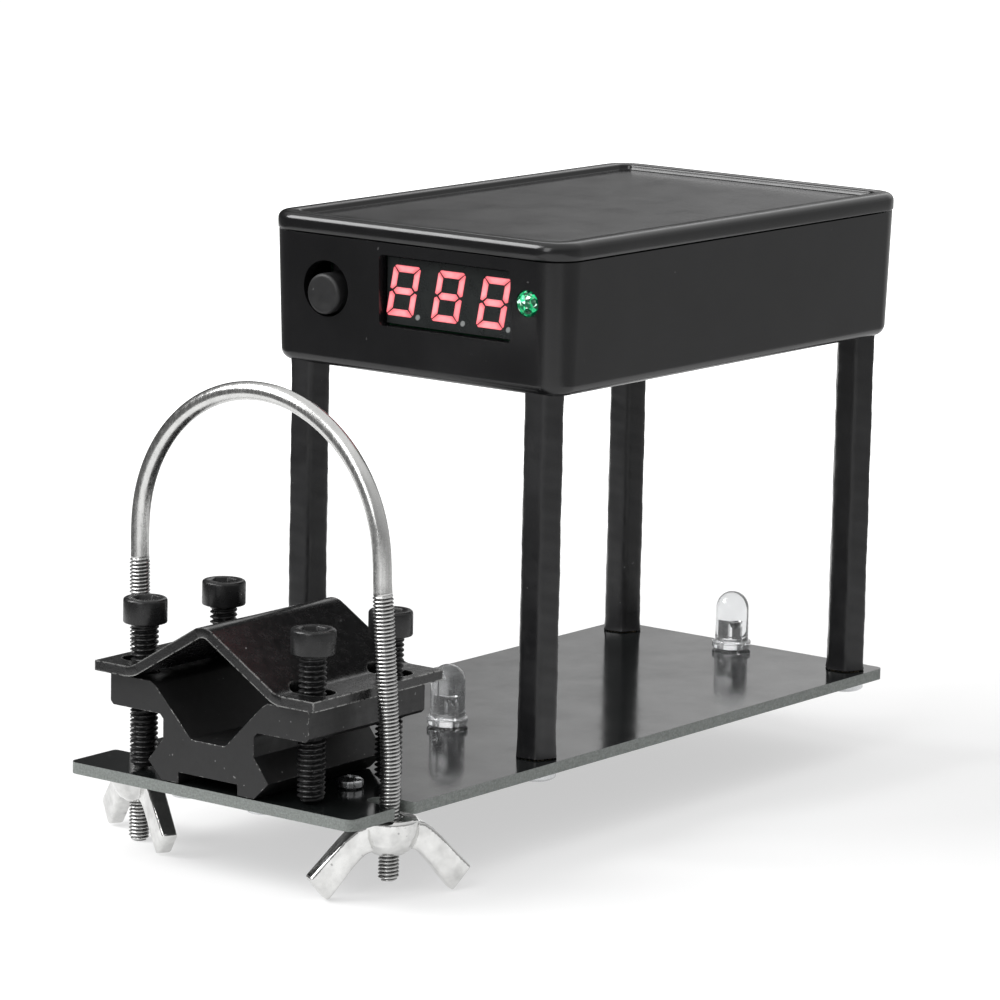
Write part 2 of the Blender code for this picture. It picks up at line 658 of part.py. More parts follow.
# ---- inside the case ----------------------------------------------------------
def make_inside():
    board = box((CASE_X - 39.0, -16.5, BOARD_LOW), (CASE_X + 39.0, 16.5, BOARD_LOW + BOARD_THICK))
    round_edges(board, upright, 3.0, 3)
    for i, (x, y) in enumerate(BOARD_SCREWS):
        cut(board, cylinder(1.2, (x, y, BOARD_LOW - 1), 4.0, sides=12), f"board_hole_{i}")
    finish(board, "main_board", "board", smooth=False)
    top = BOARD_LOW + BOARD_THICK + 0.15
    finish(box((-7.2, -2.5, top), (-2.2, 2.5, top + 1.5)), "controller_chip", "chip", False)

    holder = box((0.8, -11.8, top), (52.8 - 5.0, 11.8, top + 7.5))
    for i, y in enumerate((-5.7, 5.7)):
        trough = cylinder(5.3, (2.0, y, top + 6.3), 44.6, "X", 24)
        cut(holder, trough, f"holder_trough_{i}")
    finish(holder, "battery_holder", "holder")
    for tag, y in (("a", -5.7), ("b", 5.7)):
        start = 2.3
        flip = tag == "b"
        cell = cylinder(5.0, (start + (0.9 if flip else 0.0), y, top + 6.3), 43.0, "X", 24)
        nub = cylinder(1.9, (start if flip else start + 42.5, y, top + 6.3), 1.4, "X", 12)
        join(cell, nub, f"cell_nub_{tag}")
        finish(cell, "battery_" + tag, "cell")

    for name, mat, y in (("lead_red", "red_wire", 9.6), ("lead_black", "black_wire", -9.6)):
        bend = [(0.5, 6.2), (-0.6, 6.1), (-1.5, 5.4), (-2.0, 4.2), (-2.2, 2.8), (-2.3, 1.4),
                (-2.3, 0.2)]
        wire = tube([(x, y, top + z) for x, z in bend], 0.5, 1)
        finish(wire, name, mat)


make_plate()
make_block()
make_jaw()
for tag_x, screw_x in zip(("front", "rear"), SCREW_XS):
    for tag_y, screw_y in (("right", -SCREW_Y), ("left", SCREW_Y)):
        make_clamp_screw(f"clamp_screw_{tag_x}_{tag_y}", screw_x, screw_y)
make_u_bolt()
make_wing_nut("wing_nut_right", -LEG_Y, NEAR_NUT_TURN)
make_wing_nut("wing_nut_left", LEG_Y, FAR_NUT_TURN)
for tag_x, post_x in zip(("front", "rear"), POST_XS):
    for tag_y, post_y in (("right", -POST_Y), ("left", POST_Y)):
        make_post(f"{tag_x}_{tag_y}", post_x, post_y)
make_fasteners()
make_emitter("emitter_front", BEAM_XS[0])
make_emitter("emitter_rear", BEAM_XS[1])
make_sensor("sensor_front", BEAM_XS[0])
make_sensor("sensor_rear", BEAM_XS[1])
make_case()
make_lid()
make_front()
make_inside()
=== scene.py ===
import json
import math

import bmesh
import bpy
import numpy as np
from mathutils import Matrix, Vector


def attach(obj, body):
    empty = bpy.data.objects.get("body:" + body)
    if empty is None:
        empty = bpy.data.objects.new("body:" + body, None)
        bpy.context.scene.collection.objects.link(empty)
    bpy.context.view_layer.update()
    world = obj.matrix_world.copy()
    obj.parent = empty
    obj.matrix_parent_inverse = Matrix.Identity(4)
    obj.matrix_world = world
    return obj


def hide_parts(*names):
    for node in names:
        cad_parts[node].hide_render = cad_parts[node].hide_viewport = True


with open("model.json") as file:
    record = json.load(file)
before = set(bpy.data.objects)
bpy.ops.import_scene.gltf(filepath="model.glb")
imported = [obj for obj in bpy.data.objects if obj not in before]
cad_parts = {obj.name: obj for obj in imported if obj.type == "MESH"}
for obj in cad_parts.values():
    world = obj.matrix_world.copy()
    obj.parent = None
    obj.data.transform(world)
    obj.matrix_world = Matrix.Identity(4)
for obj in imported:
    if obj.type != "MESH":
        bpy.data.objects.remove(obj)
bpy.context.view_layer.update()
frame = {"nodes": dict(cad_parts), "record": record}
mm = 0.001
chassis = "chassis"
print("frame loaded:", len(frame["nodes"]), "nodes")


# A new object in the scene for some data.
def placed(name, data):
    obj = bpy.data.objects.new(name, data)
    bpy.context.scene.collection.objects.link(obj)
    return obj


# Even angles round a circle: step number times the full turn over the count.
def fullTurn(count):
    return np.arange(count) * 2 * np.pi / count


# A grid of points, rows by columns, whose columns close into rings. A fan to the ring's middle shuts each open end.
def gridMesh(points, capStart=True, capEnd=True):
    rows, cols = points.shape[:2]
    index = np.arange(rows * cols).reshape(rows, cols)
    low, high = index[:-1], index[1:]
    quads = np.stack([low, np.roll(low, -1, 1), np.roll(high, -1, 1), high], -1).reshape(-1, 4)
    verts = points.reshape(-1, 3)
    faces = quads.tolist()
    for wanted, ring, way in ((capStart, index[0], 1), (capEnd, index[-1], -1)):
        if wanted:
            pole = np.full(cols, len(verts))
            verts = np.vstack([verts, verts[ring].mean(0)])
            after = np.roll(ring, -1)
            pair = (after, ring) if way > 0 else (ring, after)
            faces += np.stack([pole, *pair], -1).tolist()
    return verts, faces


# Faces pointing out: the sum of the triangles' triple products is six times the volume, and its sign says which way.
def outward(verts, faces):
    quads = np.array([f for f in faces if len(f) == 4]).reshape(-1, 4)
    tris = np.array([f for f in faces if len(f) == 3]).reshape(-1, 3)
    fans = np.vstack([tris, quads[:, [0, 1, 2]], quads[:, [0, 2, 3]]]).astype(int)
    a, b, c = (verts[fans[:, k]] for k in range(3))
    if np.einsum("ij,ij->i", a, np.cross(b, c)).sum() < 0:
        faces = [f[::-1] for f in faces]
    return faces


# Several closed grids in one mesh, given in millimetres.
def meshOf(name, parts):
    verts, faces, start = [], [], 0
    for points, shape in parts:
        faces += [[i + start for i in f] for f in outward(points, shape)]
        verts.append(points)
        start += len(points)
    mesh = bpy.data.meshes.new(name)
    mesh.from_pydata((np.vstack(verts) * mm).tolist(), [], faces)
    mesh.update()
    return placed(name, mesh)


# A profile of (radius, height) turned about an upright axis: x = r cos a, y = r sin a. A radius may be a whole ring.
def turnedGrid(profile, centre=(0, 0), cols=48, start=0.0):
    angle = start + fullTurn(cols)
    rows = []
    for radius, height in profile:
        rows.append(np.stack([centre[0] + radius * np.cos(angle), centre[1] + radius * np.sin(angle),
                              np.broadcast_to(height, angle.shape).astype(float)], -1))
    return gridMesh(np.array(rows))


# Points of an arc in a profile, from one angle to another in degrees.
def arcPoints(a, b, radius, start, end, count):
    t = np.radians(np.linspace(start, end, count + 1))
    return list(zip(a + radius * np.cos(t), b + radius * np.sin(t)))


# A rectangle with round corners as one ring: four quarter circles joined by straight sides cut into even steps.
def roundRing(length, width, corner, arcSteps=12, sideSteps=6):
    corner = max(corner, 0.05)
    ring = []
    quarter = np.linspace(0, np.pi / 2, arcSteps + 1)
    a, b = length / 2 - corner, width / 2 - corner
    for k, (sx, sy) in enumerate(((1, 1), (-1, 1), (-1, -1), (1, -1))):
        t = quarter + k * np.pi / 2
        ring.append(np.stack([sx * a + corner * np.cos(t), sy * b + corner * np.sin(t)], -1))
        nextCorner = ((-a, b + corner), (-a - corner, -b), (a, -b - corner), (a + corner, b))[k]
        steps = np.linspace(0, 1, sideSteps + 1)[1:-1, None]
        ring.append(ring[-1][-1] + (np.array(nextCorner) - ring[-1][-1]) * steps)
    return np.vstack(ring)


# A closed outline carried straight along x between two places.
def alongX(outline, xStart, xEnd):
    outline = np.asarray(outline, float)
    rows = [np.column_stack([np.full(len(outline), x), outline]) for x in (xStart, xEnd)]
    return gridMesh(np.array(rows))


# A closed ring of (x, y) points carried straight up: the same ring at each height.
def prism(ring, heights):
    return gridMesh(np.array([np.column_stack([ring, np.full(len(ring), z)]) for z in heights]))


# Depth of a thread, 0 at the root and 1 at the crest: a clipped triangle wave of height / pitch minus turns.
def threadWave(turns, height, pitch):
    phase = (height / pitch - turns) % 1.0
    return np.clip((1 - np.abs(2 * phase - 1)) * 1.5 - 0.2, 0, 1)


# One number per vertex, kept as an attribute. Vertices past the list, the caps' middles, get nought.
def paint(obj, name, values):
    data = np.zeros(len(obj.data.vertices), np.float32)
    data[:len(values)] = values
    layer = obj.data.attributes.new(name, "FLOAT", "POINT")
    layer.data.foreach_set("value", data)


# The mesh as its modifiers leave it, in place of the object's own.
def applied(obj):
    graph = bpy.context.evaluated_depsgraph_get()
    mesh = bpy.data.meshes.new_from_object(obj.evaluated_get(graph), depsgraph=graph)
    obj.modifiers.clear()
    obj.data = mesh
    return obj


# One mesh less another, or joined with it. The other one is used up.
def carve(obj, cutter, operation="DIFFERENCE"):
    mod = obj.modifiers.new("carve", "BOOLEAN")
    mod.solver = "EXACT"
    mod.operation = operation
    mod.object = cutter
    applied(obj)
    bpy.data.objects.remove(cutter)
    return obj


# Rounds the sharp edges, then leans the normals towards the large faces so that flats stay flat.
def soften(obj, width, steps=2, angle=32):
    bevel = obj.modifiers.new("bevel", "BEVEL")
    bevel.width = width * mm
    bevel.segments = steps
    bevel.limit_method = "ANGLE"
    bevel.angle_limit = math.radians(angle)
    obj.data.shade_smooth()
    lean = obj.modifiers.new("lean", "WEIGHTED_NORMAL")
    lean.keep_sharp = True
    return applied(obj)


# A merged copy of a CAD node with its edges rounded, to stand for that node.
def refined(node, name, width, steps=2):
    mesh = frame["nodes"][node].data.copy()
    work = bmesh.new()
    work.from_mesh(mesh)
    bmesh.ops.remove_doubles(work, verts=work.verts, dist=0.000002)
    bmesh.ops.dissolve_limit(work, angle_limit=math.radians(0.8), verts=work.verts, edges=work.edges)
    bmesh.ops.recalc_face_normals(work, faces=work.faces)
    work.to_mesh(mesh)
    work.free()
    return soften(placed(name, mesh), width, steps)


# Gives a piece the finish named by the slot, or the finishes that looks names, attaches it to its body and hides
# the nodes that it stands for.
def settle(obj, slotName, nodes=(), sharp=None, body=chassis, looks=None):
    obj.data.materials.clear()
    for name in looks or (slotName,):
        obj.data.materials.append(finishes[name])
    if sharp:
        obj.data.shade_smooth()
        obj.data.set_sharp_from_angle(angle=math.radians(sharp))
    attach(obj, body)
    if nodes:
        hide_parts(*nodes)
    return obj


# A new material with its node tree and shader.
def shaderOf(name):
    mat = bpy.data.materials.new(name)
    mat.use_nodes = True
    return mat, mat.node_tree, mat.node_tree.nodes["Principled BSDF"]


# Links each named input to an output, or sets it to a constant.
def feed(tree, node, values):
    for key, value in values.items():
        if isinstance(value, bpy.types.NodeSocket):
            tree.links.new(value, node.inputs[key])
        else:
            node.inputs[key].default_value = value


# A node with its settings and the values of its inputs.
def addNode(tree, kind, values=None, **settings):
    node = tree.nodes.new(kind)
    for key, value in settings.items():
        setattr(node, key, value)
    feed(tree, node, values or {})
    return node


# Noise on Object coordinates; stretch is the scale along each axis, in features per millimetre.
def noiseOf(tree, stretch, detail=3.0, rough=0.55, move=0.0):
    place = addNode(tree, "ShaderNodeTexCoord").outputs["Object"]
    scale = [s * 1000 for s in (stretch if isinstance(stretch, tuple) else (stretch,) * 3)]
    mapped = addNode(tree, "ShaderNodeMapping", {"Vector": place, "Scale": scale, "Location": (move, move, move)})
    noise = addNode(tree, "ShaderNodeTexNoise", {"Vector": mapped.outputs["Vector"], "Scale": 1.0,
                                                 "Detail": detail, "Roughness": rough})
    return noise.outputs["Fac"]


# A straight line from one range of values to another, held at its ends.
def remap(tree, value, low, high, outLow, outHigh):
    node = addNode(tree, "ShaderNodeMapRange", {"Value": value, "From Min": low, "From Max": high,
                                                "To Min": outLow, "To Max": outHigh})
    return node.outputs["Result"]


# One sum or product of two values.
def mathOf(tree, operation, first, second):
    node = addNode(tree, "ShaderNodeMath", {0: first, 1: second}, operation=operation)
    return node.outputs[0]


# A share of the way from the first colour to the second.
def blendColour(tree, share, first, second):
    first, second = ((*value, 1.0) if isinstance(value, tuple) else value for value in (first, second))
    node = addNode(tree, "ShaderNodeMix", {0: share, 6: first, 7: second}, data_type="RGBA")
    return node.outputs[2]


# A colour for each position along a value, straight lines between.
def rampOf(tree, value, stops):
    ramp = addNode(tree, "ShaderNodeValToRGB", {"Fac": value})
    while len(ramp.color_ramp.elements) < len(stops):
        ramp.color_ramp.elements.new(0.5)
    for element, (position, colour) in zip(ramp.color_ramp.elements, stops):
        element.position = position
        element.color = (*colour, 1.0)
    return ramp.outputs["Color"]


# Leans the shader's normal by the slope of a height in millimetres.
def bumped(tree, shader, height):
    bump = addNode(tree, "ShaderNodeBump", {"Height": height, "Strength": 1.0, "Distance": mm})
    feed(tree, shader, {"Normal": bump.outputs["Normal"]})


# Where an edge is: the rounded normal of a small radius leans away from the true one there.
def edgeMask(tree, radius):
    rounded = addNode(tree, "ShaderNodeBevel", {"Radius": radius * mm}, samples=6)
    true = addNode(tree, "ShaderNodeNewGeometry").outputs["Normal"]
    dot = addNode(tree, "ShaderNodeVectorMath", {0: rounded.outputs["Normal"], 1: true}, operation="DOT_PRODUCT")
    return remap(tree, dot.outputs["Value"], 0.995, 0.9, 0.0, 1.0)


# One finish: a base colour mottled by broad noise, specks and worn edges of other colours, painted shade darkening
# the thread grooves, roughness that wanders, and a bump from fine grain, broad waves and streaks.
def finish(name, base, rough, metal=0.0, mottle=(0.35, 0.3), swing=0.08, grain=(5.0, 0.004), wave=None,
           streak=None, specks=None, wear=None, grooveShade=None):
    mat, tree, shader = shaderOf(name)
    broad = noiseOf(tree, mottle[0])
    darker = tuple(c * (1 - mottle[1]) for c in base)
    lighter = tuple(min(1, c * (1 + mottle[1])) for c in base)
    colour = blendColour(tree, remap(tree, broad, 0.3, 0.7, 0, 1), darker, lighter)
    uneven = noiseOf(tree, mottle[0] * 2.7, 4, 0.65, 3.0)
    roughness = remap(tree, uneven, 0.3, 0.7, rough - swing, rough + swing)
    shiny = metal
    height = mathOf(tree, "MULTIPLY", noiseOf(tree, grain[0], 2), grain[1])
    if wave:
        broadWave = mathOf(tree, "MULTIPLY", noiseOf(tree, wave[0], 2, 0.4, 7.0), wave[1])
        height = mathOf(tree, "ADD", height, broadWave)
    if streak:
        lines = noiseOf(tree, streak[0], 4, 0.6, 1.5)
        height = mathOf(tree, "ADD", height, mathOf(tree, "MULTIPLY", lines, streak[1]))
        roughness = mathOf(tree, "ADD", roughness, remap(tree, lines, 0.4, 0.7, 0, streak[2]))
        colour = blendColour(tree, remap(tree, lines, 0.45, 0.75, 0, streak[3]), colour, darker)
    if specks:
        dots = remap(tree, noiseOf(tree, specks[0], 1, 0.5, 11.0), specks[1], specks[1] + 0.03, 0, specks[3])
        colour = blendColour(tree, dots, colour, (specks[2],) * 3)
    # painted shade: the thread depth darkens the colour in the grooves and roughens them
    if grooveShade:
        depth = addNode(tree, "ShaderNodeAttribute", attribute_name="grooveShade").outputs["Fac"]
        colour = blendColour(tree, mathOf(tree, "MULTIPLY", depth, grooveShade[1]), colour, grooveShade[0])
        roughness = mathOf(tree, "ADD", roughness, mathOf(tree, "MULTIPLY", depth, grooveShade[2]))
    if wear:
        patch = remap(tree, noiseOf(tree, wear["patch"], 4, 0.7, 5.0), wear["from"], wear["from"] + 0.08, 0, 1)
        worn = mathOf(tree, "MULTIPLY", edgeMask(tree, wear["radius"]), patch)
        worn = mathOf(tree, "MULTIPLY", worn, wear["amount"])
        colour = blendColour(tree, worn, colour, wear["colour"])
        shiny = remap(tree, worn, 0, 1, metal, 1.0)
    feed(tree, shader, {"Metallic": shiny, "Base Color": colour, "Roughness": roughness})
    bumped(tree, shader, height)
    return mat


black = (0.006, 0.006, 0.0065)
finishes = {
    "case": finish("satinCase", black, 0.22, grain=(6.0, 0.0035), mottle=(0.06, 0.25), swing=0.04,
                   wave=(0.035, 0.05), specks=(1.1, 0.79, 0.12, 0.5)),
    "lid": finish("satinRim", black, 0.2, grain=(6.0, 0.003), mottle=(0.08, 0.25), swing=0.05,
                  specks=(1.1, 0.8, 0.12, 0.5)),
    "panel": finish("mattePanel", (0.008, 0.008, 0.0085), 0.2, grain=(9.0, 0.003), mottle=(0.05, 0.2),
                    swing=0.03, specks=(0.9, 0.8, 0.1, 0.4)),
    "plate": finish("blackMask", (0.006, 0.007, 0.007), 0.13, grain=(2.5, 0.002), mottle=(0.05, 0.3), swing=0.03,
                    wave=(0.25, 0.008), specks=(1.3, 0.78, 0.2, 0.6)),
    "edge": finish("boardEdge", (0.175, 0.19, 0.18), 0.5, grain=(6.0, 0.02), mottle=(3.6, 0.3),
                   streak=((0.9, 0.9, 8.0), 0.03, 0.1, 0.8)),
    "anodised": finish("blackAnodised", (0.007, 0.007, 0.0073), 0.42, grain=(9.0, 0.01), mottle=(0.3, 0.2),
                       specks=(1.6, 0.76, 0.25, 0.6), streak=((0.1, 5.0, 5.0), 0.004, 0.05, 0.3),
                       wear={"patch": 1.3, "from": 0.54, "radius": 0.22, "amount": 1.0, "colour": (0.6, 0.6, 0.58)}),
    "jaw": finish("wornPaint", (0.007, 0.007, 0.0072), 0.24, grain=(3.5, 0.012), mottle=(0.25, 0.3), swing=0.09,
                  wave=(0.5, 0.02), specks=(1.5, 0.79, 0.3, 0.6),
                  wear={"patch": 1.1, "from": 0.42, "radius": 0.36, "amount": 0.8, "colour": (0.45, 0.45, 0.44)}),
    # black oxide screws: painted shade in the thread grooves
    "black_oxide": finish("blackOxide", (0.012, 0.012, 0.0125), 0.3, 0.2, grain=(6.0, 0.012), mottle=(0.6, 0.3),
                          grooveShade=((0.003, 0.003, 0.003), 0.9, 0.2),
                          wear={"patch": 1.6, "from": 0.5, "radius": 0.12, "amount": 0.6, "colour": (0.4, 0.4, 0.4)}),
    # steel rod: painted shade in the thread grooves
    "steel": finish("drawnRod", (0.66, 0.66, 0.65), 0.2, 1.0, grain=(8.0, 0.004), mottle=(0.4, 0.08), swing=0.06,
                    streak=((4.0, 4.0, 0.08), 0.006, 0.12, 0.5), grooveShade=((0.045, 0.045, 0.047), 0.93, 0.2)),
    "nickel": finish("brightCasting", (0.68, 0.68, 0.67), 0.12, 1.0, grain=(1.6, 0.03), mottle=(0.45, 0.16),
                     swing=0.06, wave=(0.28, 0.2), specks=(0.8, 0.72, 0.2, 0.6)),
    "zinc": finish("zincPlate", (0.6, 0.61, 0.62), 0.27, 1.0, grain=(7.0, 0.006), mottle=(0.5, 0.12), swing=0.07),
    "brass": finish("turnedBrass", (0.72, 0.52, 0.22), 0.26, 1.0, grain=(6.0, 0.006), mottle=(0.4, 0.15),
                    streak=((0.4, 0.4, 6.0), 0.006, 0.06, 0.3)),
    "sleeve": finish("shrinkSleeve", (0.008, 0.008, 0.0088), 0.36, grain=(5.0, 0.01), mottle=(0.12, 0.25),
                     wave=(0.16, 0.07), streak=((0.8, 0.8, 0.06), 0.02, 0.05, 0.2),
                     specks=(1.2, 0.8, 0.15, 0.5)),
    "button": finish("matteCap", (0.011, 0.011, 0.0115), 0.5, grain=(9.0, 0.01), mottle=(0.4, 0.2),
                     specks=(1.6, 0.78, 0.15, 0.5)),
    "display": finish("displayFace", (0.012, 0.014, 0.014), 0.3, grain=(5.0, 0.002), mottle=(0.2, 0.2)),
    "board": finish("greenMask", (0.012, 0.085, 0.035), 0.32, grain=(3.0, 0.01), mottle=(0.3, 0.25), wave=(0.6, 0.02)),
    "chip": finish("mouldedChip", (0.014, 0.014, 0.015), 0.5, grain=(8.0, 0.015), mottle=(0.5, 0.2)),
    "holder": finish("holderMoulding", (0.016, 0.016, 0.017), 0.5, grain=(6.0, 0.012), mottle=(0.2, 0.2)),
    "cell": finish("wrappedCell", (0.26, 0.28, 0.31), 0.3, 0.5, grain=(5.0, 0.004), mottle=(0.15, 0.15),
                   streak=((0.05, 3.0, 3.0), 0.004, 0.05, 0.3)),
    "red_wire": finish("redInsulation", (0.42, 0.012, 0.012), 0.38, grain=(6.0, 0.008), mottle=(0.4, 0.15)),
    "black_wire": finish("blackInsulation", (0.012, 0.012, 0.012), 0.38, grain=(6.0, 0.008), mottle=(0.4, 0.15)),
    "sensorLens": finish("darkLens", (0.01, 0.008, 0.012), 0.08, grain=(4.0, 0.003), mottle=(0.5, 0.3)),
    "solder": finish("solder", (0.6, 0.6, 0.6), 0.2, 1.0, grain=(3.0, 0.02), mottle=(0.8, 0.1)),
}


# A clear moulded lens, with faint flow marks in its surface.
def clearFinish(name, colour, rough, wave):
    mat, tree, shader = shaderOf(name)
    bumped(tree, shader, mathOf(tree, "MULTIPLY", noiseOf(tree, 0.35, 2), wave))
    tint = blendColour(tree, noiseOf(tree, 0.5), colour, tuple(c * 0.94 for c in colour))
    uneven = remap(tree, noiseOf(tree, 0.8, 3, 0.6, 2.0), 0.3, 0.7, rough, rough + 0.03)
    feed(tree, shader, {"Base Color": tint, "Roughness": uneven, "Transmission Weight": 0.86, "IOR": 1.42})
    return mat


# Glowing bars and dots: a saturated rim and a paler core, from the core attribute, with a little drift from bar to bar.
# On the lit digits this is lamp light; on the unlit dots it is painted light.
def litFinish(name, rim, core, strength):
    mat, tree, shader = shaderOf(name)
    middle = addNode(tree, "ShaderNodeAttribute", attribute_name="core").outputs["Fac"]
    uneven = remap(tree, noiseOf(tree, 0.35, 2), 0.35, 0.65, 0.55, 1.0)
    colour = blendColour(tree, mathOf(tree, "MULTIPLY", middle, uneven), rim, core)
    unlit = blendColour(tree, uneven, tuple(c * 0.25 for c in rim), tuple(c * 0.3 for c in rim))
    feed(tree, shader, {"Emission Color": colour, "Emission Strength": strength, "Base Color": unlit,
                        "Roughness": remap(tree, noiseOf(tree, 3.0), 0.3, 0.7, 0.4, 0.5)})
    return mat


# Painted sparkle: cells of the lens take dark, mid and bright green as painted shade and painted highlights, and the
# brightest cells glow.
def paintedSparkleFinish(name):
    mat, tree, shader = shaderOf(name)
    place = addNode(tree, "ShaderNodeTexCoord").outputs["Object"]
    mapped = addNode(tree, "ShaderNodeMapping", {"Vector": place, "Scale": (900, 900, 900)})
    cells = addNode(tree, "ShaderNodeTexVoronoi", {"Vector": mapped.outputs["Vector"], "Scale": 2.2, "Randomness": 1.0})
    tone = addNode(tree, "ShaderNodeSeparateColor", {"Color": cells.outputs["Color"]}).outputs[0]
    # colour stops from painted shade to painted highlights
    stops = ((0.0, (0.0, 0.02, 0.01)), (0.35, (0.0, 0.09, 0.035)), (0.6, (0.0, 0.36, 0.12)), (0.82, (0.04, 0.75, 0.3)),
             (0.93, (0.7, 1.0, 0.85)))
    paintedGlints = rampOf(tree, tone, stops)
    feed(tree, shader, {"Base Color": paintedGlints, "Emission Color": paintedGlints, "Emission Strength": 0.5, "Roughness": 0.06})
    bumped(tree, shader, mathOf(tree, "MULTIPLY", cells.outputs["Distance"], 0.25))
    return mat


finishes["clear"] = clearFinish("clearLens", (0.95, 0.96, 0.97), 0.03, 0.03)
# the status lamp's lens takes the painted sparkle
finishes["green"] = paintedSparkleFinish("greenLensPaintedSparkle")
finishes["digits"] = litFinish("litBars", (0.93, 0.145, 0.175), (1.0, 0.42, 0.44), 1.0)
# the decimal dots are unlit, yet they take a faint grey glow with a paler core: painted light
finishes["dots"] = litFinish("paintedGlowDots", (0.2, 0.21, 0.21), (0.42, 0.43, 0.42), 0.55)
# nodes that stay take their slot's finish
for item in frame["record"]["subparts"]:
    shown = frame["nodes"][item["node"]]
    shown.data.materials.clear()
    name = "sensorLens" if item["node"].startswith("sensor") else item["material_slot"]
    shown.data.materials.append(finishes[name])
print("finishes made:", len(finishes))

# Faces whose normal or centre has its z near a value take the second material.
def secondMaterial(obj, quantity, level, within):
    values = np.zeros(len(obj.data.polygons) * 3, np.float32)
    obj.data.polygons.foreach_get(quantity, values)
    near = np.abs(values.reshape(-1, 3)[:, 2] - level) < within
    obj.data.polygons.foreach_set("material_index", near.astype(np.int32))


# Base plate
plate = {"edge": 0.12, "maskLean": 0.6}
board = refined("base_plate", "basePlate", plate["edge"])
settle(board, "plate", ("base_plate",), looks=("plate", "edge"))
secondMaterial(board, "normal", 0, plate["maskLean"])
print("base plate done")

# Clamp block
block = refined("clamp_block", "clampBlock", 0.16)
settle(block, "anodised", ("clamp_block",))

# Clamp jaw, a bent strip
jaw = {"x": -50.4, "length": 27.2, "half": 19.0, "thick": 1.4, "low": 15.25, "foot": 12.48, "rise": 7.568,
       "footRound": 4.0, "crownRound": 2.2, "slotLong": 1.0, "slotRound": 2.3,
       "slotCut": (12.0, 20.0), "edge": 0.2,
       "screwXs": (-58.85, -42.65), "screwY": 14.6}


# The four places at two values of x and either side of the middle, with their names: front and rear, right and left.
def fourPlaces(xs, half):
    return [(f"{tagX}_{tagY}", x, y) for tagX, x in zip(("front", "rear"), xs)
            for tagY, y in (("right", -half), ("left", half))]


# The strip's middle line, right half: flat foot, an arc of the foot radius, a straight slope, an arc over the crown.
def jawLine():
    mid = jaw["low"] + jaw["thick"] / 2
    slope = math.atan2(jaw["rise"], jaw["foot"])
    bend, crown = jaw["footRound"], jaw["crownRound"]
    turn = np.linspace(0, slope, 11)
    footY = jaw["foot"] + bend * math.tan(slope / 2)
    foot = np.column_stack([footY - bend * np.sin(turn), mid + bend * (1 - np.cos(turn))])
    top = mid + jaw["rise"] - crown * (1 / math.cos(slope) - 1)
    over = np.column_stack([crown * np.sin(turn[::-1]), top - crown * (1 - np.cos(turn[::-1]))])
    return np.vstack([[jaw["half"], mid], foot, over])


right = jawLine()
line = np.vstack([right, right[-2::-1] * (-1, 1)])
along = np.gradient(line, axis=0)
along /= np.linalg.norm(along, axis=1)[:, None]
side = np.column_stack([-along[:, 1], along[:, 0]]) * jaw["thick"] / 2
strip = np.vstack([line - side, (line + side)[::-1]])
xs = jaw["x"] - jaw["length"] / 2, jaw["x"] + jaw["length"] / 2
verts, faces = alongX(strip, *xs)
# the ends are strips of quads between the two faces of the strip, not fans, because the outline is hollow
count = len(line)
verts = verts[:-2]
faces = [f for f in faces if len(f) == 4]
for start, way in ((0, 1), (2 * count, -1)):
    for k in range(count - 1):
        quad = [start + k, start + 2 * count - 1 - k, start + 2 * count - 2 - k, start + k + 1]
        faces.append(quad[::way])
strap = meshOf("clampJaw", [(verts, faces)])
slots = []
t = np.linspace(0, 2 * np.pi, 48, endpoint=False)
for tag, x, y in fourPlaces(jaw["screwXs"], jaw["screwY"]):
    ring = np.column_stack([x + jaw["slotRound"] * np.cos(t),
                            y + jaw["slotRound"] * np.sin(t) + jaw["slotLong"] * np.sign(np.sin(t) + 1e-9)])
    slots.append(prism(ring, jaw["slotCut"]))
carve(strap, meshOf("slots", slots))
soften(strap, jaw["edge"], 3)
settle(strap, "jaw", ("clamp_jaw",), body="jaw")
print("clamp block and jaw done")

# Clamp screws
capScrew = {"pitch": 0.7, "crest": 1.87, "root": 1.42, "head": 3.0, "headLow": 21.7, "headHigh": 25.1,
            "edge": 0.4, "socket": 1.75, "socketDeep": 1.9, "tip": 2.1, "rowsPerTurn": 8, "cols": 48,
            "turns": (0.4, 0.4 + 0.8, 0.4 + 1.3, 0.4 + 1.3 + 0.8)}


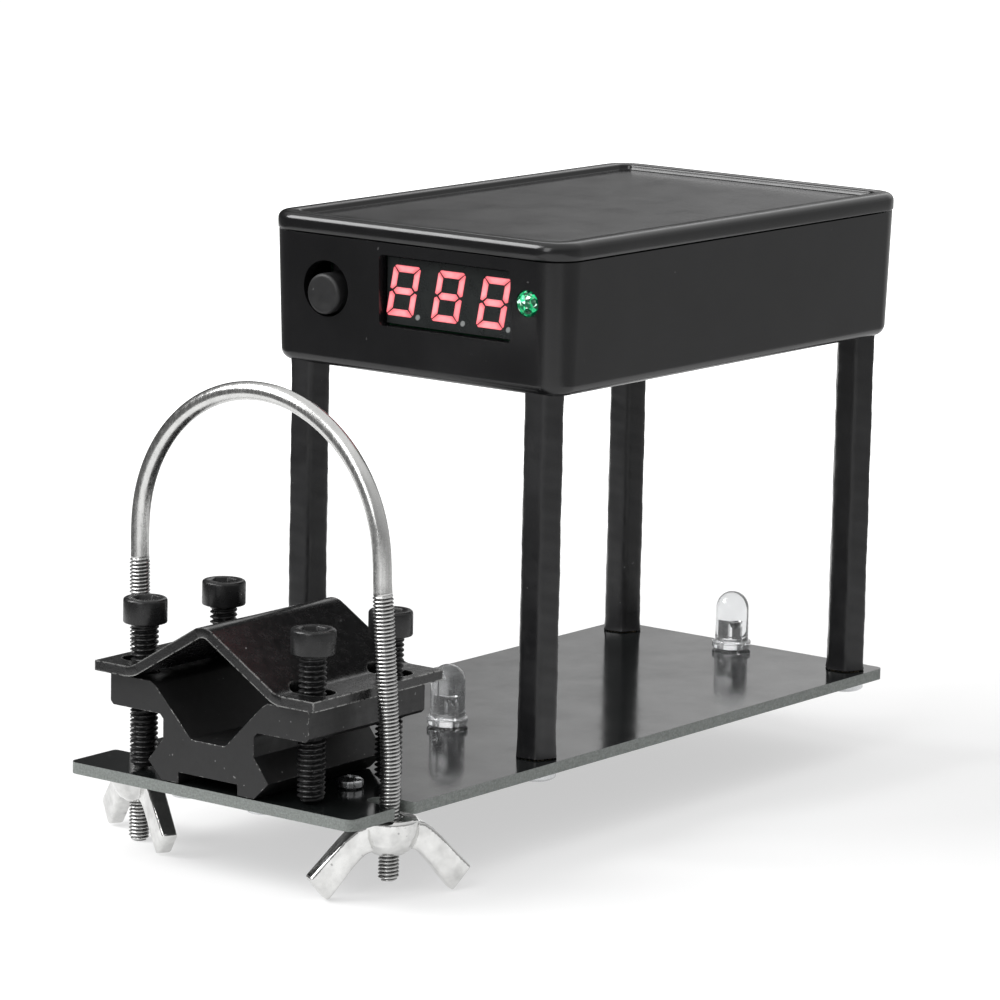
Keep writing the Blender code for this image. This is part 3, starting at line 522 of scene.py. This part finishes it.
# Rings from the socket's floor over the head and down the shank: hexagon rings, round rings, then rings whose
# radius is the root plus the thread's depth times the wave.
def capScrewGrid(x, y, turn):
    s = capScrew
    angle = fullTurn(s["cols"])
    hexagon = s["socket"] * math.cos(math.pi / 6) / np.cos((angle % (math.pi / 3)) - math.pi / 6)
    floor, high, low, e = s["headHigh"] - s["socketDeep"], s["headHigh"], s["headLow"], s["edge"]
    rings = [(hexagon * 0.5, floor - 0.25), (hexagon, floor), (hexagon, high - 0.12), (hexagon + 0.12, high)]
    rings += arcPoints(s["head"] - e, high - e, e, 90, 0, 4)
    rings += arcPoints(s["head"] - 0.2, low + 0.2, 0.2, 0, -90, 2)
    rings += [(s["crest"] + 0.15, low), (s["crest"], low - 0.15)]
    heights = np.arange(low - 0.25, s["tip"], -s["pitch"] / s["rowsPerTurn"])
    fade = np.clip((low - heights) / 1.2, 0.0, 1.0) * np.clip((heights - s["tip"]) / 0.8, 0.3, 1.0)
    grooves = np.zeros((len(rings), s["cols"]))
    for height, share in zip(heights, fade):
        wave = threadWave(angle / (2 * np.pi), height, s["pitch"])
        base = s["crest"] - (s["crest"] - s["root"]) * (1 - wave) * share
        shrink = np.clip((height - s["tip"]) / 0.45, 0, 1) * 0.4
        rings.append((base - 0.4 + shrink, height))
        grooves = np.vstack([grooves, (1 - wave) * share])
    rings.append((s["root"] - 0.35, s["tip"]))
    verts, faces = turnedGrid(rings, (0, 0), s["cols"])
    cosine, sine = math.cos(turn), math.sin(turn)
    verts = np.column_stack([x + verts[:, 0] * cosine - verts[:, 1] * sine,
                             y + verts[:, 0] * sine + verts[:, 1] * cosine, verts[:, 2]])
    return verts, faces, grooves.ravel()


for (tag, x, y), turn in zip(fourPlaces(jaw["screwXs"], jaw["screwY"]), capScrew["turns"]):
    verts, faces, grooves = capScrewGrid(x, y, turn)
    screw = meshOf(f"clampScrew_{tag}", [(verts, faces)])
    paint(screw, "grooveShade", grooves)
    settle(screw, "black_oxide", (f"clamp_screw_{tag}",), 50, f"screw_{tag}")
print("clamp screws done")

# U-bolt
hoop = {"x": -51.4, "legY": 21.9, "archY": 1.1, "archZ": 32.7, "archR": 21.1, "straight": 7.6, "nearEnd": -9.0,
        "farEnd": -11.0, "plain": 1.28, "crest": 1.42, "root": 1.15, "pitch": 0.5, "nearThread": 29.6,
        "farThread": 28.7, "cols": 24, "rowsPerTurn": 6}


# The rod's middle line as (y, z) points: leg, half circle and leg.
def hoopLine():
    h = hoop
    turn = np.radians(np.linspace(180, 0, 73))
    arch = np.column_stack([h["archY"] + h["archR"] * np.cos(turn), h["archZ"] + h["archR"] * np.sin(turn)])
    near = [[-h["legY"], h["nearEnd"]], [-h["legY"], h["straight"] - 1.5], [-h["legY"] + 0.04, h["straight"]],
            [h["archY"] - h["archR"] - 0.06, h["archZ"] - 2.0]]
    far = [[h["archY"] + h["archR"], h["archZ"] - 2.0], [h["legY"] + 0.02, h["straight"]],
           [h["legY"], h["straight"] - 1.5], [h["legY"], h["farEnd"]]]
    return np.vstack([near, arch, far])


# Rings across the line. The rod's radius is plain, and the root plus the thread's wave along both legs.
def hoopGrid():
    h = hoop
    line = hoopLine()
    steps = np.linalg.norm(np.diff(line, axis=0), axis=1)
    length = np.concatenate([[0], np.cumsum(steps)])
    total = length[-1]
    fine = h["pitch"] / h["rowsPerTurn"]
    nearLen, farLen = h["nearThread"] - h["nearEnd"], h["farThread"] - h["farEnd"]
    s = np.concatenate([np.arange(0, nearLen + 1, fine), np.linspace(nearLen + 1.1, total - farLen - 1.1, 120),
                        np.arange(total - farLen - 1, total, fine), [total]])
    y, z = np.interp(s, length, line[:, 0]), np.interp(s, length, line[:, 1])
    kernel = np.ones(9) / 9
    for values in (y, z):
        values[4:-4] = np.convolve(values, kernel, "valid")
    dy, dz = np.gradient(y, s), np.gradient(z, s)
    size = np.hypot(dy, dz)
    ny, nz = dz / size, -dy / size
    angle = fullTurn(h["cols"])
    wave = threadWave(angle[None, :] / (2 * np.pi), s[:, None], h["pitch"])
    cut = np.clip((nearLen - s) / 0.8, 0, 1) + np.clip((s - (total - farLen)) / 0.8, 0, 1)
    ends = np.minimum(np.clip(s / 0.5, 0, 1), np.clip((total - s) / 0.5, 0, 1))
    radius = h["plain"] * (1 - cut[:, None]) + (h["root"] + (h["crest"] - h["root"]) * wave) * cut[:, None]
    radius *= (0.72 + 0.28 * ends)[:, None]
    points = np.stack([h["x"] + radius * np.cos(angle), y[:, None] + radius * np.sin(angle) * ny[:, None],
                       z[:, None] + radius * np.sin(angle) * nz[:, None]], -1)
    return (*gridMesh(points), ((1 - wave) * cut[:, None]).ravel())


verts, faces, grooves = hoopGrid()
rod = meshOf("uBolt", [(verts, faces)])
paint(rod, "grooveShade", grooves)
settle(rod, "steel", ("u_bolt",), 60, "u_bolt")
print("U-bolt done")

# Wing nuts
wingNut = {"top": -0.3, "bore": 1.6, "thick": 2.3, "voxel": 0.13, "smooth": 3,
           "hub": [(1.6, 0.0), (3.5, 0.0), (3.9, -0.35), (3.95, -1.2), (3.85, -2.4), (3.5, -3.5), (2.9, -4.4),
                   (2.2, -4.95), (1.6, -5.0)],
           "upper": [(2.2, -0.75), (3.9, -0.8), (4.7, -1.0), (6.0, -1.9), (7.6, -3.5), (9.4, -5.4), (11.1, -7.15),
                     (11.45, -7.6)],
           "lower": [(2.2, -4.3), (3.6, -4.7), (4.4, -5.4), (5.4, -6.5), (6.5, -7.9), (7.7, -9.4), (8.6, -10.45),
                     (8.95, -10.55)]}


# A hollow hub turned from its outline, and two wings. Each ring of a wing is a rounded oblong between the upper
# and lower edge lines, as wide as the wing is thick: cosine and sine, each to the power 0.22.
def wingNutObject(name, y, turn):
    n = wingNut
    ring = [(r, n["top"] + z) for r, z in n["hub"]]
    angle = fullTurn(48)
    points = [np.column_stack([r * np.cos(angle), r * np.sin(angle), np.full(48, z)]) for r, z in ring + ring[:1]]
    parts = [gridMesh(np.array(points), False, False)]
    u = np.linspace(0, 1, len(n["upper"]))
    t = np.concatenate([np.linspace(0, 0.96, 26), [0.985, 1.0]])
    upper = np.column_stack([np.interp(t, u, [p[k] for p in n["upper"]]) for k in (0, 1)])
    lower = np.column_stack([np.interp(t, u, [p[k] for p in n["lower"]]) for k in (0, 1)])
    phi = fullTurn(32)
    across = np.sign(np.cos(phi)) * np.abs(np.cos(phi)) ** 0.22
    through = np.sign(np.sin(phi)) * np.abs(np.sin(phi)) ** 0.22
    shrink = np.sqrt(np.clip(1 - np.clip((t - 0.96) / 0.04, 0, 1) ** 2, 0.4, 1))
    thick = n["thick"] / 2 * (1.2 - 0.25 * t) * shrink
    middle, half = (upper + lower) / 2, (upper - lower) / 2
    flat = middle[:, None, :] + half[:, None, :] * (across[None, :, None] * (0.7 + 0.3 * shrink)[:, None, None])
    for sign in (1, -1):
        wing = np.stack([sign * flat[..., 0], thick[:, None] * through[None, :], n["top"] + flat[..., 1]], -1)
        parts.append(gridMesh(wing))
    nut = meshOf(name, parts)
    nut.data.transform(Matrix.Translation((hoop["x"] * mm, y * mm, 0)) @ Matrix.Rotation(turn, 4, "Z"))
    weld = nut.modifiers.new("weld", "WELD")
    weld.merge_threshold = 0.00001
    skin = nut.modifiers.new("skin", "REMESH")
    skin.mode = "VOXEL"
    skin.voxel_size = n["voxel"] * mm
    relax = nut.modifiers.new("relax", "SMOOTH")
    relax.factor = 0.5
    relax.iterations = n["smooth"]
    return applied(nut)


for name, node, body, y, turn in (("wingNut_right", "wing_nut_right", "right_nut", -hoop["legY"], math.radians(-30.5)),
                                  ("wingNut_left", "wing_nut_left", "left_nut", hoop["legY"], math.radians(63.0))):
    nut = wingNutObject(name, y, turn)
    settle(nut, "nickel", (node,), 60, body)
print("wing nuts done")

# Posts: shrink sleeves over the standoffs
post = {"xs": (-17.5, 58.5), "y": 20.5, "flat": 5.3, "wall": 0.3, "low": 1.8, "high": 52.4, "corner": 38.0,
        "power": 15, "flare": 0.16, "cols": 72, "rows": 90, "seeds": (0.0, 2.9, 1.7, 1.7 + 2.9)}


# A hexagon with soft corners: the flat over the sum of the cosines to its six sides, each to a high power, and the
# sum to one over that power.
# The sleeve swells at its cut ends and wavers a little along its length.
def sleeveGrid(x, y, seed):
    p = post
    angle = fullTurn(p["cols"])
    sides = np.radians(p["corner"] + 30 + 60 * np.arange(6))
    cosines = np.clip(np.cos(angle[:, None] - sides[None, :]), 0, 1)
    shape = (cosines ** p["power"]).sum(1) ** (-1 / p["power"])
    z = np.concatenate([[0, 0.1, 0.3], np.linspace(0.6, p["high"] - p["low"] - 0.6, p["rows"]),
                        [p["high"] - p["low"] - 0.2, p["high"] - p["low"]]])
    ends = np.exp(-z / 0.8) + 0.5 * np.exp(-(z[-1] - z) / 0.6)
    waver = 0.03 * np.sin(z[:, None] * 0.45 + 3 * angle[None, :] + seed) + 0.02 * np.sin(z[:, None] * 1.3 + seed * 2)
    waver = waver + 0.015 * np.sin(z[:, None] * 3.1 + 2 * angle[None, :] - seed)
    outer = shape[None, :] * (p["flat"] / 2) + waver - 0.02 + p["flare"] * ends[:, None]
    inner = np.broadcast_to(shape * (p["flat"] / 2 - p["wall"]), outer.shape)
    radius = np.vstack([outer, inner[::-1]])
    height = np.concatenate([z, z[::-1]]) + p["low"]
    points = np.stack([x + radius * np.cos(angle), y + radius * np.sin(angle),
                       np.broadcast_to(height[:, None], radius.shape)], -1)
    return gridMesh(np.concatenate([points, points[:1]]), False, False)


for (tag, x, y), seed in zip(fourPlaces(post["xs"], post["y"]), post["seeds"]):
    sleeve = meshOf(f"sleeve_{tag}_skin", [sleeveGrid(x, y, seed)])
    weld = sleeve.modifiers.new("weld", "WELD")
    weld.merge_threshold = 0.000002
    applied(sleeve)
    settle(sleeve, "sleeve", (f"sleeve_{tag}",), 50)
print("sleeves done")

# Case
case = {"x": 20.4, "length": 83.6, "width": 51.5, "low": 52.0, "high": 70.4, "taper": 0.6, "corner": 4.5, "wall": 1.7,
        "floor": 54.0, "foot": 1.6, "window": (-5.8, 63.8, 22.7, 9.9, 0.7), "button": (15.0, 63.0, 3.95),
        "status": (-20.0, 64.6, 1.85), "beams": (-11.1, 58.4), "beamHole": 1.75, "stud": 1.6, "edge": 0.14}
column = {"radius": 2.5, "heights": (53.5, 58.9)}
boss = {"xs": (-4.0, 52.0), "y": 13.6, "radius": 2.4, "heights": (53.5, 57.5)}


# Rings of a round-cornered rectangle, each (inset from the full size, height): up the outside and down the inside.
def boxGrid(centre, length, width, corner, rows, arcSteps=14):
    rings = []
    for inset, height in rows:
        ring = roundRing(length - 2 * inset, width - 2 * inset, corner - inset, arcSteps)
        rings.append(np.column_stack([ring[:, 0] + centre, ring[:, 1], np.full(len(ring), height)]))
    return gridMesh(np.array(rings))


# How far the wall leans in: the taper times the share of the way down.
def wallInset(height):
    return case["taper"] * (case["high"] - height) / (case["high"] - case["low"])


rows = [(case["taper"] + case["foot"] + 1.0, case["low"])]
for a in np.radians(np.linspace(0, 90, 8)):
    height = case["low"] + case["foot"] * (1 - math.cos(a))
    rows.append((wallInset(height) + case["foot"] * (1 - math.sin(a)), height))
rows += [(wallInset(z), z) for z in np.linspace(case["low"] + case["foot"] + 1, case["high"], 8)]
rows += [(case["wall"] + wallInset(z), z) for z in (case["high"], case["floor"])]
body = meshOf("caseBody", [boxGrid(case["x"], case["length"], case["width"], case["corner"], rows)])
postPlaces = [(x, y) for _, x, y in fourPlaces(post["xs"], post["y"])]
bossPlaces = [(x, y) for _, x, y in fourPlaces(boss["xs"], boss["y"])]
inside = [turnedGrid([(column["radius"], z) for z in column["heights"]], place, 32) for place in postPlaces]
inside += [turnedGrid([(boss["radius"], z) for z in boss["heights"]], place, 28) for place in bossPlaces]
carve(body, meshOf("columns", inside), "UNION")
front = case["x"] - case["length"] / 2
depths = front - 3, front + 6
y, z, wide, tall, corner = case["window"]
cutters = [alongX(roundRing(wide, tall, corner, 6, 2) + (y, z), *depths)]
for y, z, radius in (case["button"], case["status"]):
    t = np.linspace(0, 2 * np.pi, 64, endpoint=False)
    cutters.append(alongX(np.column_stack([y + radius * np.cos(t), z + radius * np.sin(t)]), *depths))
for x in case["beams"]:
    bore = [(case["beamHole"], case["low"] - 1), (case["beamHole"], case["floor"] + 1)]
    cutters.append(turnedGrid(bore, (x, 0), 32))
for place in postPlaces:
    cutters.append(turnedGrid([(case["stud"], case["low"] - 1), (case["stud"], case["low"] + 10)], place, 24))
carve(body, meshOf("openings", cutters))
soften(body, case["edge"])
settle(body, "case", ("case_body",))

lid = {"length": 83.9, "width": 51.8, "low": 70.6, "high": 73.0, "corner": 4.65, "round": 1.1, "rim": 3.15,
       "panel": 72.2, "lip": (2.3, 69.6), "hollow": (3.45, 71.4)}
rows = [(lid["hollow"][0], lid["hollow"][1]), (lid["hollow"][0], lid["lip"][1]), (lid["lip"][0], lid["lip"][1]),
        (lid["lip"][0], lid["low"]), (0.12, lid["low"]), (0.0, lid["low"] + 0.12)]
for a in np.radians(np.linspace(0, 90, 8)):
    rows.append((lid["round"] * (1 - math.cos(a)), lid["high"] - lid["round"] * (1 - math.sin(a))))
rimIn = lid["rim"]
rows += [(rimIn - 0.35, lid["high"]), (rimIn - 0.12, lid["high"] - 0.06), (rimIn, lid["high"] - 0.25),
         (rimIn, lid["panel"] + 0.15), (rimIn + 0.15, lid["panel"]), (rimIn + 1.0, lid["panel"])]
cover = meshOf("caseLid", [boxGrid(case["x"], lid["length"], lid["width"], lid["corner"], rows)])
cover.data.shade_smooth()
cover.data.set_sharp_from_angle(angle=math.radians(50))
settle(cover, "lid", ("case_lid",), looks=("lid", "panel"))
secondMaterial(cover, "center", lid["panel"] * mm, 0.00002)
print("case done")

# Display
digit = {"face": -19.95, "half": 2.35, "tall": 3.55, "bar": 0.95, "gap": 0.16, "lean": math.tan(math.radians(10.5)),
         "pitch": 7.8, "centreY": -5.6, "centreZ": 63.85, "proud": 0.05, "samples": 36, "dot": 0.4,
         "dotAside": 2.55, "dotBelow": 3.4, "dotProud": 0.03}


# An outline with its two coordinates each times 1 or -1.
def flipped(shape, across, upward):
    return [(across * a, upward * b) for a, b in shape]


# Outlines of the seven bars as seen from the front, mitred at 45 degrees, with a gap between neighbours.
def barOutlines():
    half, tall, bar, gap = digit["half"], digit["tall"], digit["bar"], digit["gap"]
    nip = 0.28
    top = [(-half + gap + nip, tall), (half - gap - nip, tall), (half - gap - nip * 0.2, tall - nip * 0.6),
           (half - gap - bar, tall - bar), (-half + gap + bar, tall - bar), (-half + gap + nip * 0.2, tall - nip * 0.6)]
    left = [(-half, tall - gap - nip), (-half + nip * 0.6, tall - gap - nip * 0.5), (-half + bar, tall - bar - gap),
            (-half + bar, bar / 2 + gap * 1.2), (-half + bar * 0.4, gap), (-half, gap + 0.15)]
    middle = [(-half + bar / 2 + gap, 0), (-half + bar + gap, bar / 2), (half - bar - gap, bar / 2),
              (half - bar / 2 - gap, 0), (half - bar - gap, -bar / 2), (-half + bar + gap, -bar / 2)]
    return [top, flipped(top, 1, -1), middle, left, flipped(left, -1, 1), flipped(left, 1, -1), flipped(left, -1, -1)]


# Even points round an outline, by its length.
def resampled(outline, count):
    ring = np.array(outline + outline[:1], float)
    length = np.concatenate([[0], np.cumsum(np.linalg.norm(np.diff(ring, axis=0), axis=1))])
    s = np.arange(count) * length[-1] / count
    s = np.sort(np.concatenate([s, length[1:-1]]))
    return np.column_stack([np.interp(s, length, ring[:, k]) for k in (0, 1)])


# A low chip: the outline inside the face, the same outline proud of it, then a smaller one as the bright core.
def chipGrid(ring, y, z, proud):
    middle = ring.mean(0)
    levels = ((1.0, 0.15), (1.0, -proud * 0.6), (0.93, -proud), (0.55, -proud))
    rows = []
    for scale, depth in levels:
        p = middle + (ring - middle) * scale
        rows.append(np.column_stack([np.full(len(p), digit["face"] + depth), y - (p[:, 0] + p[:, 1] * digit["lean"]),
                                     z + p[:, 1]]))
    verts, faces = gridMesh(np.array(rows))
    core = np.concatenate([np.repeat([0.0, 0.0, 0.15, 1.0], len(ring)), [0.0, 1.0]])
    return verts, faces, core


# One mesh of chips, each (outline, place along y, height), with its core attribute.
def chipMesh(name, chips, proud, look):
    grids = [chipGrid(ring, y, z, proud) for ring, y, z in chips]
    obj = meshOf(name, [grid[:2] for grid in grids])
    paint(obj, "core", np.concatenate([grid[2] for grid in grids]))
    settle(obj, "display", (), 30, looks=(look,))


digitYs = [digit["centreY"] - k * digit["pitch"] for k in (-1, 0, 1)]
chipMesh("digits", [(resampled(shape, digit["samples"]), y, digit["centreZ"]) for y in digitYs
                    for shape in barOutlines()], digit["proud"], "digits")
t = np.linspace(0, 2 * np.pi, 24, endpoint=False)
dot = digit["dot"] * np.column_stack([np.cos(t), np.sin(t)])
chipMesh("decimalDots", [(dot, y - digit["dotAside"], digit["centreZ"] - digit["dotBelow"]) for y in digitYs],
         digit["dotProud"], "dots")
settle(refined("display", "displayBlock", 0.2), "display", ("display",))
print("display done")


# The button and the status lamp are turned about x: y = r cos a, z = r sin a, at a depth behind the tip.
def turnedX(profile, tip, y, z, cols=64):
    angle = fullTurn(cols)
    rows = [np.column_stack([np.full(cols, tip + depth), y + r * np.cos(angle), z + r * np.sin(angle)])
            for r, depth in profile]
    return gridMesh(np.array(rows))


button = {"tip": -21.9, "y": 15.0, "z": 62.3, "radius": 2.85, "edge": 0.5, "dish": 0.12, "skirt": 4.2, "stem": 1.3,
          "stemEnd": 7.6}
radius, edge, skirt = button["radius"], button["edge"], button["skirt"]
profile = [(r, button["dish"] * (1 - (r / 2.1) ** 2)) for r in (0.3, 0.9, 1.5, 1.9, 2.1)]
profile += [(radius - edge + edge * math.sin(a), edge * (1 - math.cos(a))) for a in np.radians(np.linspace(0, 90, 7))]
profile += [(radius, skirt - 0.2), (radius - 0.2, skirt), (button["stem"], skirt), (button["stem"], button["stemEnd"])]
cap = meshOf("powerButton", [turnedX(profile, button["tip"], button["y"], button["z"])])
settle(cap, "button", ("power_button",), 40, "button")

lamp = {"tip": -22.05, "y": -20.0, "z": 64.6, "radius": 1.78, "dome": 1.3, "end": 5.25, "lead": 0.25, "leadEnd": -10.35}
profile = [(lamp["radius"] * math.sin(a), lamp["dome"] * (1 - math.cos(a))) for a in np.radians(np.linspace(6, 90, 10))]
profile += [(lamp["radius"], lamp["end"] - 1.0), (1.9, lamp["end"] - 1.0), (1.9, lamp["end"])]
parts = [turnedX(profile, lamp["tip"], lamp["y"], lamp["z"], 40)]
wire = [(lamp["lead"], 0.0), (lamp["lead"], lamp["leadEnd"] - lamp["tip"] - 5.0)]
for aside in (-0.9, 0.9):
    parts.append(turnedX(wire, lamp["tip"] + 5.0, lamp["y"] + aside, lamp["z"], 12))
settle(meshOf("statusLamp", parts), "green", ("status_led",), 40)
print("button and status lamp done")

# Lamps on the plate
emitter = {"low": 1.9, "radius": 2.5, "flange": 2.9, "dome": 7.9, "flat": 2.62, "lead": 0.25, "leadLow": -1.0}


# The lens: a flange with one flat side, a tube, and a half ball on top.
def lensGrid(x):
    e = emitter
    cols = 64
    angle = fullTurn(cols)
    flange = np.minimum(e["flange"], e["flat"] / np.clip(np.cos(angle - 0.9), 0.2, 1))
    rows = [(flange - 0.1, e["low"]), (flange, e["low"] + 0.1), (flange, e["low"] + 0.9),
            (flange - 0.1, e["low"] + 1.0), (e["radius"] + 0.08, e["low"] + 1.02), (e["radius"], e["low"] + 1.15)]
    rows += [(e["radius"] * (1 - 0.004 * k), e["low"] + 1.15 + (e["dome"] - e["low"] - 1.15) * k / 5)
             for k in range(1, 6)]
    rows += [(e["radius"] * 0.98 * math.cos(a), e["dome"] + e["radius"] * math.sin(a))
             for a in np.radians(np.linspace(6, 86, 14))]
    return turnedGrid(rows, (x, 0), cols)


# A block between two values of x, of y and of z, with small round upright edges.
def brick(x, y, low, high):
    ring = roundRing(x[1] - x[0], y[1] - y[0], 0.06, 2, 1) + ((x[0] + x[1]) / 2, (y[0] + y[1]) / 2)
    return prism(ring, (low, high))


for tag, x in zip(("front", "rear"), case["beams"]):
    lens = meshOf(f"emitterLens_{tag}", [lensGrid(x)])
    settle(lens, "clear", (f"emitter_{tag}",), 40)
    leads = []
    for y in (-1.27, 1.27):
        leads.append(brick((x - 0.25, x + 0.25), (y - 0.25, y + 0.25), emitter["leadLow"], 3.2))
        leads.append(turnedGrid([(0.9, -0.12), (0.6, -0.45), (0.35, -0.85)], (x, y), 20))
    leads.append(brick((x - 0.2, x + 0.2), (-1.45, -0.15), 3.1, 5.2))
    leads.append(brick((x - 0.2, x + 0.2), (0.35, 1.45), 3.1, 5.9))
    leads.append(turnedGrid([(0.35, 4.9), (0.55, 5.1), (0.8, 5.9), (0.7, 5.95), (0.45, 5.4)], (x, -0.5), 24))
    settle(meshOf(f"emitterFrame_{tag}", leads), "zinc", (), 40, looks=("solder",))
print("lamps done")


# A turned head and shank in their own place, head upwards, with a tapered cross cut into the top.
def panScrew(name, head, high, shank, length):
    dome = [(0.02, high)] + [(head * k, high - 0.32 * high * k ** 3) for k in (0.25, 0.45, 0.65, 0.8)]
    dome += arcPoints(head - 0.28, high * 0.55, 0.28, 60, -5, 3)
    profile = dome + [(head - 0.02, 0.1), (head - 0.12, 0.0), (shank, 0.0), (shank, -length + 0.3),
                      (shank - 0.3, -length)]
    screw = meshOf(name, [turnedGrid(profile, (0, 0), 40)])
    arm, deep = head * 0.52, high * 0.62
    for k in range(2):
        rings = []
        for share, z in ((0.35, high - deep), (1.0, high + 0.4)):
            long, wide = arm * (0.4 + 0.6 * share), 0.14 + 0.12 * share
            ring = roundRing(long * 2, wide * 2, 0.03, 2, 1)
            ring = ring if k == 0 else ring[:, ::-1] * (1, -1)
            rings.append(np.column_stack([ring, np.full(len(ring), z)]))
        carve(screw, meshOf("cross", [gridMesh(np.array(rings))]))
    return screw


# A copy of a screw at its place, turned about its axis by the next draw. Its head points down or up.
def placeScrew(kind, tag, x, y, z, down):
    obj = placed(f"{kind}Screw_{tag}", masters[kind].data.copy())
    tip = Matrix.Rotation(math.pi, 4, "X") if down else Matrix.Identity(4)
    obj.data.transform(Matrix.Translation((x * mm, y * mm, z * mm)) @ Matrix.Rotation(next(turns), 4, "Z") @ tip)
    settle(obj, "zinc", (f"{kind}_screw_{tag}",), 35)


masters = {"foot": panScrew("footMaster", 2.75, 1.6, 1.2, 7.5), "block": panScrew("blockMaster", 2.2, 0.8, 1.0, 5.5),
           "plate": panScrew("plateMaster", 1.8, 1.4, 1.0, 3.2), "board": panScrew("boardMaster", 1.9, 1.2, 0.9, 3.6)}
turns = iter(np.random.default_rng(7).uniform(0, 3.1, 20))
for tag, x, y in fourPlaces(post["xs"], post["y"]):
    placeScrew("foot", tag, x, y, -0.15, True)
for k, (_, x, y) in enumerate(fourPlaces((-59.0, -42.2), 6.6)):
    placeScrew("block", k + 1, x, y, -0.15, True)
for k, y in enumerate((-12.9, 12.9)):
    placeScrew("plate", k + 1, -48.6, y, 1.75, False)
for k, (x, y) in enumerate(bossPlaces):
    placeScrew("board", k + 1, x, y, 59.05, False)
for master in masters.values():
    bpy.data.objects.remove(master)
print("screws done")

# Floor, light and camera
stage = {"floor": -11.05, "bearing": 37.3, "wide": 0.34, "long": 1.5, "out": 0.35, "glow": 0.54,
         "farGlow": 1.2, "sky": 1.05}
bearing = math.radians(stage["bearing"])
middle = (stage["out"] * math.cos(bearing), stage["out"] * math.sin(bearing), stage["floor"] * mm)
bpy.ops.mesh.primitive_plane_add(size=1.0, location=middle, rotation=(0, 0, bearing))
floor = bpy.context.object
floor.scale = (stage["long"], stage["wide"], 1)
floor.name = "floor"
mat, tree, shader = shaderOf("paleFloor")
# the floor's own glow rises behind the object, so that it fades into the backdrop
across = addNode(tree, "ShaderNodeSeparateXYZ", {"Vector": addNode(tree, "ShaderNodeTexCoord").outputs["Object"]})
glow = remap(tree, across.outputs["X"], -0.14, 0.0, stage["glow"], stage["farGlow"])
feed(tree, shader, {"Base Color": (0.42, 0.42, 0.42, 1), "Emission Color": (1, 1, 1, 1), "Emission Strength": glow,
                    "Roughness": 0.9, "Specular IOR Level": 0.1})
floor.data.materials.append(mat)

world = bpy.data.worlds.new("studio")
bpy.context.scene.world = world
world.use_nodes = True
tree = world.node_tree
tree.nodes.clear()
rays = addNode(tree, "ShaderNodeLightPath").outputs["Is Camera Ray"]
way = addNode(tree, "ShaderNodeTexCoord").outputs["Generated"]
parts = addNode(tree, "ShaderNodeSeparateXYZ", {"Vector": way})
turn = mathOf(tree, "ARCTAN2", parts.outputs["Y"], parts.outputs["X"])
around = remap(tree, turn, -math.pi, math.pi, 0, 1)


# Grey levels by bearing, given as (degrees, level) pairs.
def bearingRamp(levels):
    return rampOf(tree, around, [((degrees + 180) / 360, (level, level, level)) for degrees, level in levels])


# the backdrop is white up to some bearing, then a darker room begins; it dims towards the horizon
wall = bearingRamp(((-180, 0.25), (-120, 0.4), (-60, 0.5), (-25, 0.6), (-5, 1.0), (33, 1.15), (37.6, 0.85), (41, 0.05),
                    (60, 0.04), (100, 0.12), (140, 0.22), (180, 0.25)))
ground = bearingRamp(((-180, 0.22), (-120, 0.4), (-60, 0.45), (-30, 0.45), (0, 0.7), (37, 0.7), (60, 0.2), (100, 0.12),
                      (142, 0.16), (180, 0.22)))
horizon = bearingRamp(((-180, 0.2), (-60, 0.4), (-25, 0.5), (0, 0.6), (24, 0.5), (30, 0.36), (34, 0.13), (38, 0.03),
                       (60, 0.03), (140, 0.12), (180, 0.2)))
dimmed = blendColour(tree, remap(tree, parts.outputs["Z"], 0.16, 0.205, 0.0, 1.0), horizon, wall)
side = blendColour(tree, remap(tree, parts.outputs["Z"], -0.03, 0.03, 0.0, 1.0), ground, dimmed)
level = blendColour(tree, remap(tree, parts.outputs["Z"], 0.4, 0.85, 0.0, 1.0), side, (0.9, 0.9, 0.9))
room = addNode(tree, "ShaderNodeBackground", {"Color": level, "Strength": 1.0})
sky = addNode(tree, "ShaderNodeBackground", {"Color": (1, 1, 1, 1), "Strength": stage["sky"]})
mixed = addNode(tree, "ShaderNodeMixShader", {"Fac": rays, 1: room.outputs[0], 2: sky.outputs[0]})
addNode(tree, "ShaderNodeOutputWorld", {"Surface": mixed.outputs[0]})


# A rectangular lamp at a place, turned so that its face points at its aim.
def softBox(name, place, aim, size, power):
    data = bpy.data.lights.new(name, "AREA")
    data.shape = "RECTANGLE"
    data.size, data.size_y = size
    data.energy = power
    obj = placed(name, data)
    obj.location = place
    obj.rotation_euler = (Vector(aim) - Vector(place)).to_track_quat("-Z", "Y").to_euler()


softBox("keyLight", (-0.58, 0.66, 0.8), (0, 0, 0.03), (0.65, 0.65), 13)
softBox("fillLight", (-0.9, -0.15, 0.5), (0, 0, 0.04), (0.35, 0.8), 3)

view = {"lens": 186.38, "sensor": 36, "near": 0.01, "far": 20, "place": (-0.57115, -0.43470, 0.16627),
        "right": (0.60863, -0.79318, 0.02102), "up": (0.13303, 0.12813, 0.98279), "ahead": (0.78222, 0.59536, -0.1835)}
cameraData = bpy.data.cameras.new("camera")
cameraData.lens, cameraData.sensor_width = view["lens"], view["sensor"]
cameraData.clip_start, cameraData.clip_end = view["near"], view["far"]
camera = placed("camera", cameraData)
rows = zip(view["right"], view["up"], view["ahead"], view["place"])
camera.matrix_world = Matrix([(r, u, -a, p) for r, u, a, p in rows] + [(0, 0, 0, 1)])
bpy.context.scene.camera = camera
bpy.context.scene.view_settings.view_transform = "Standard"
bpy.context.scene.view_settings.look = "None"
print("stage done")
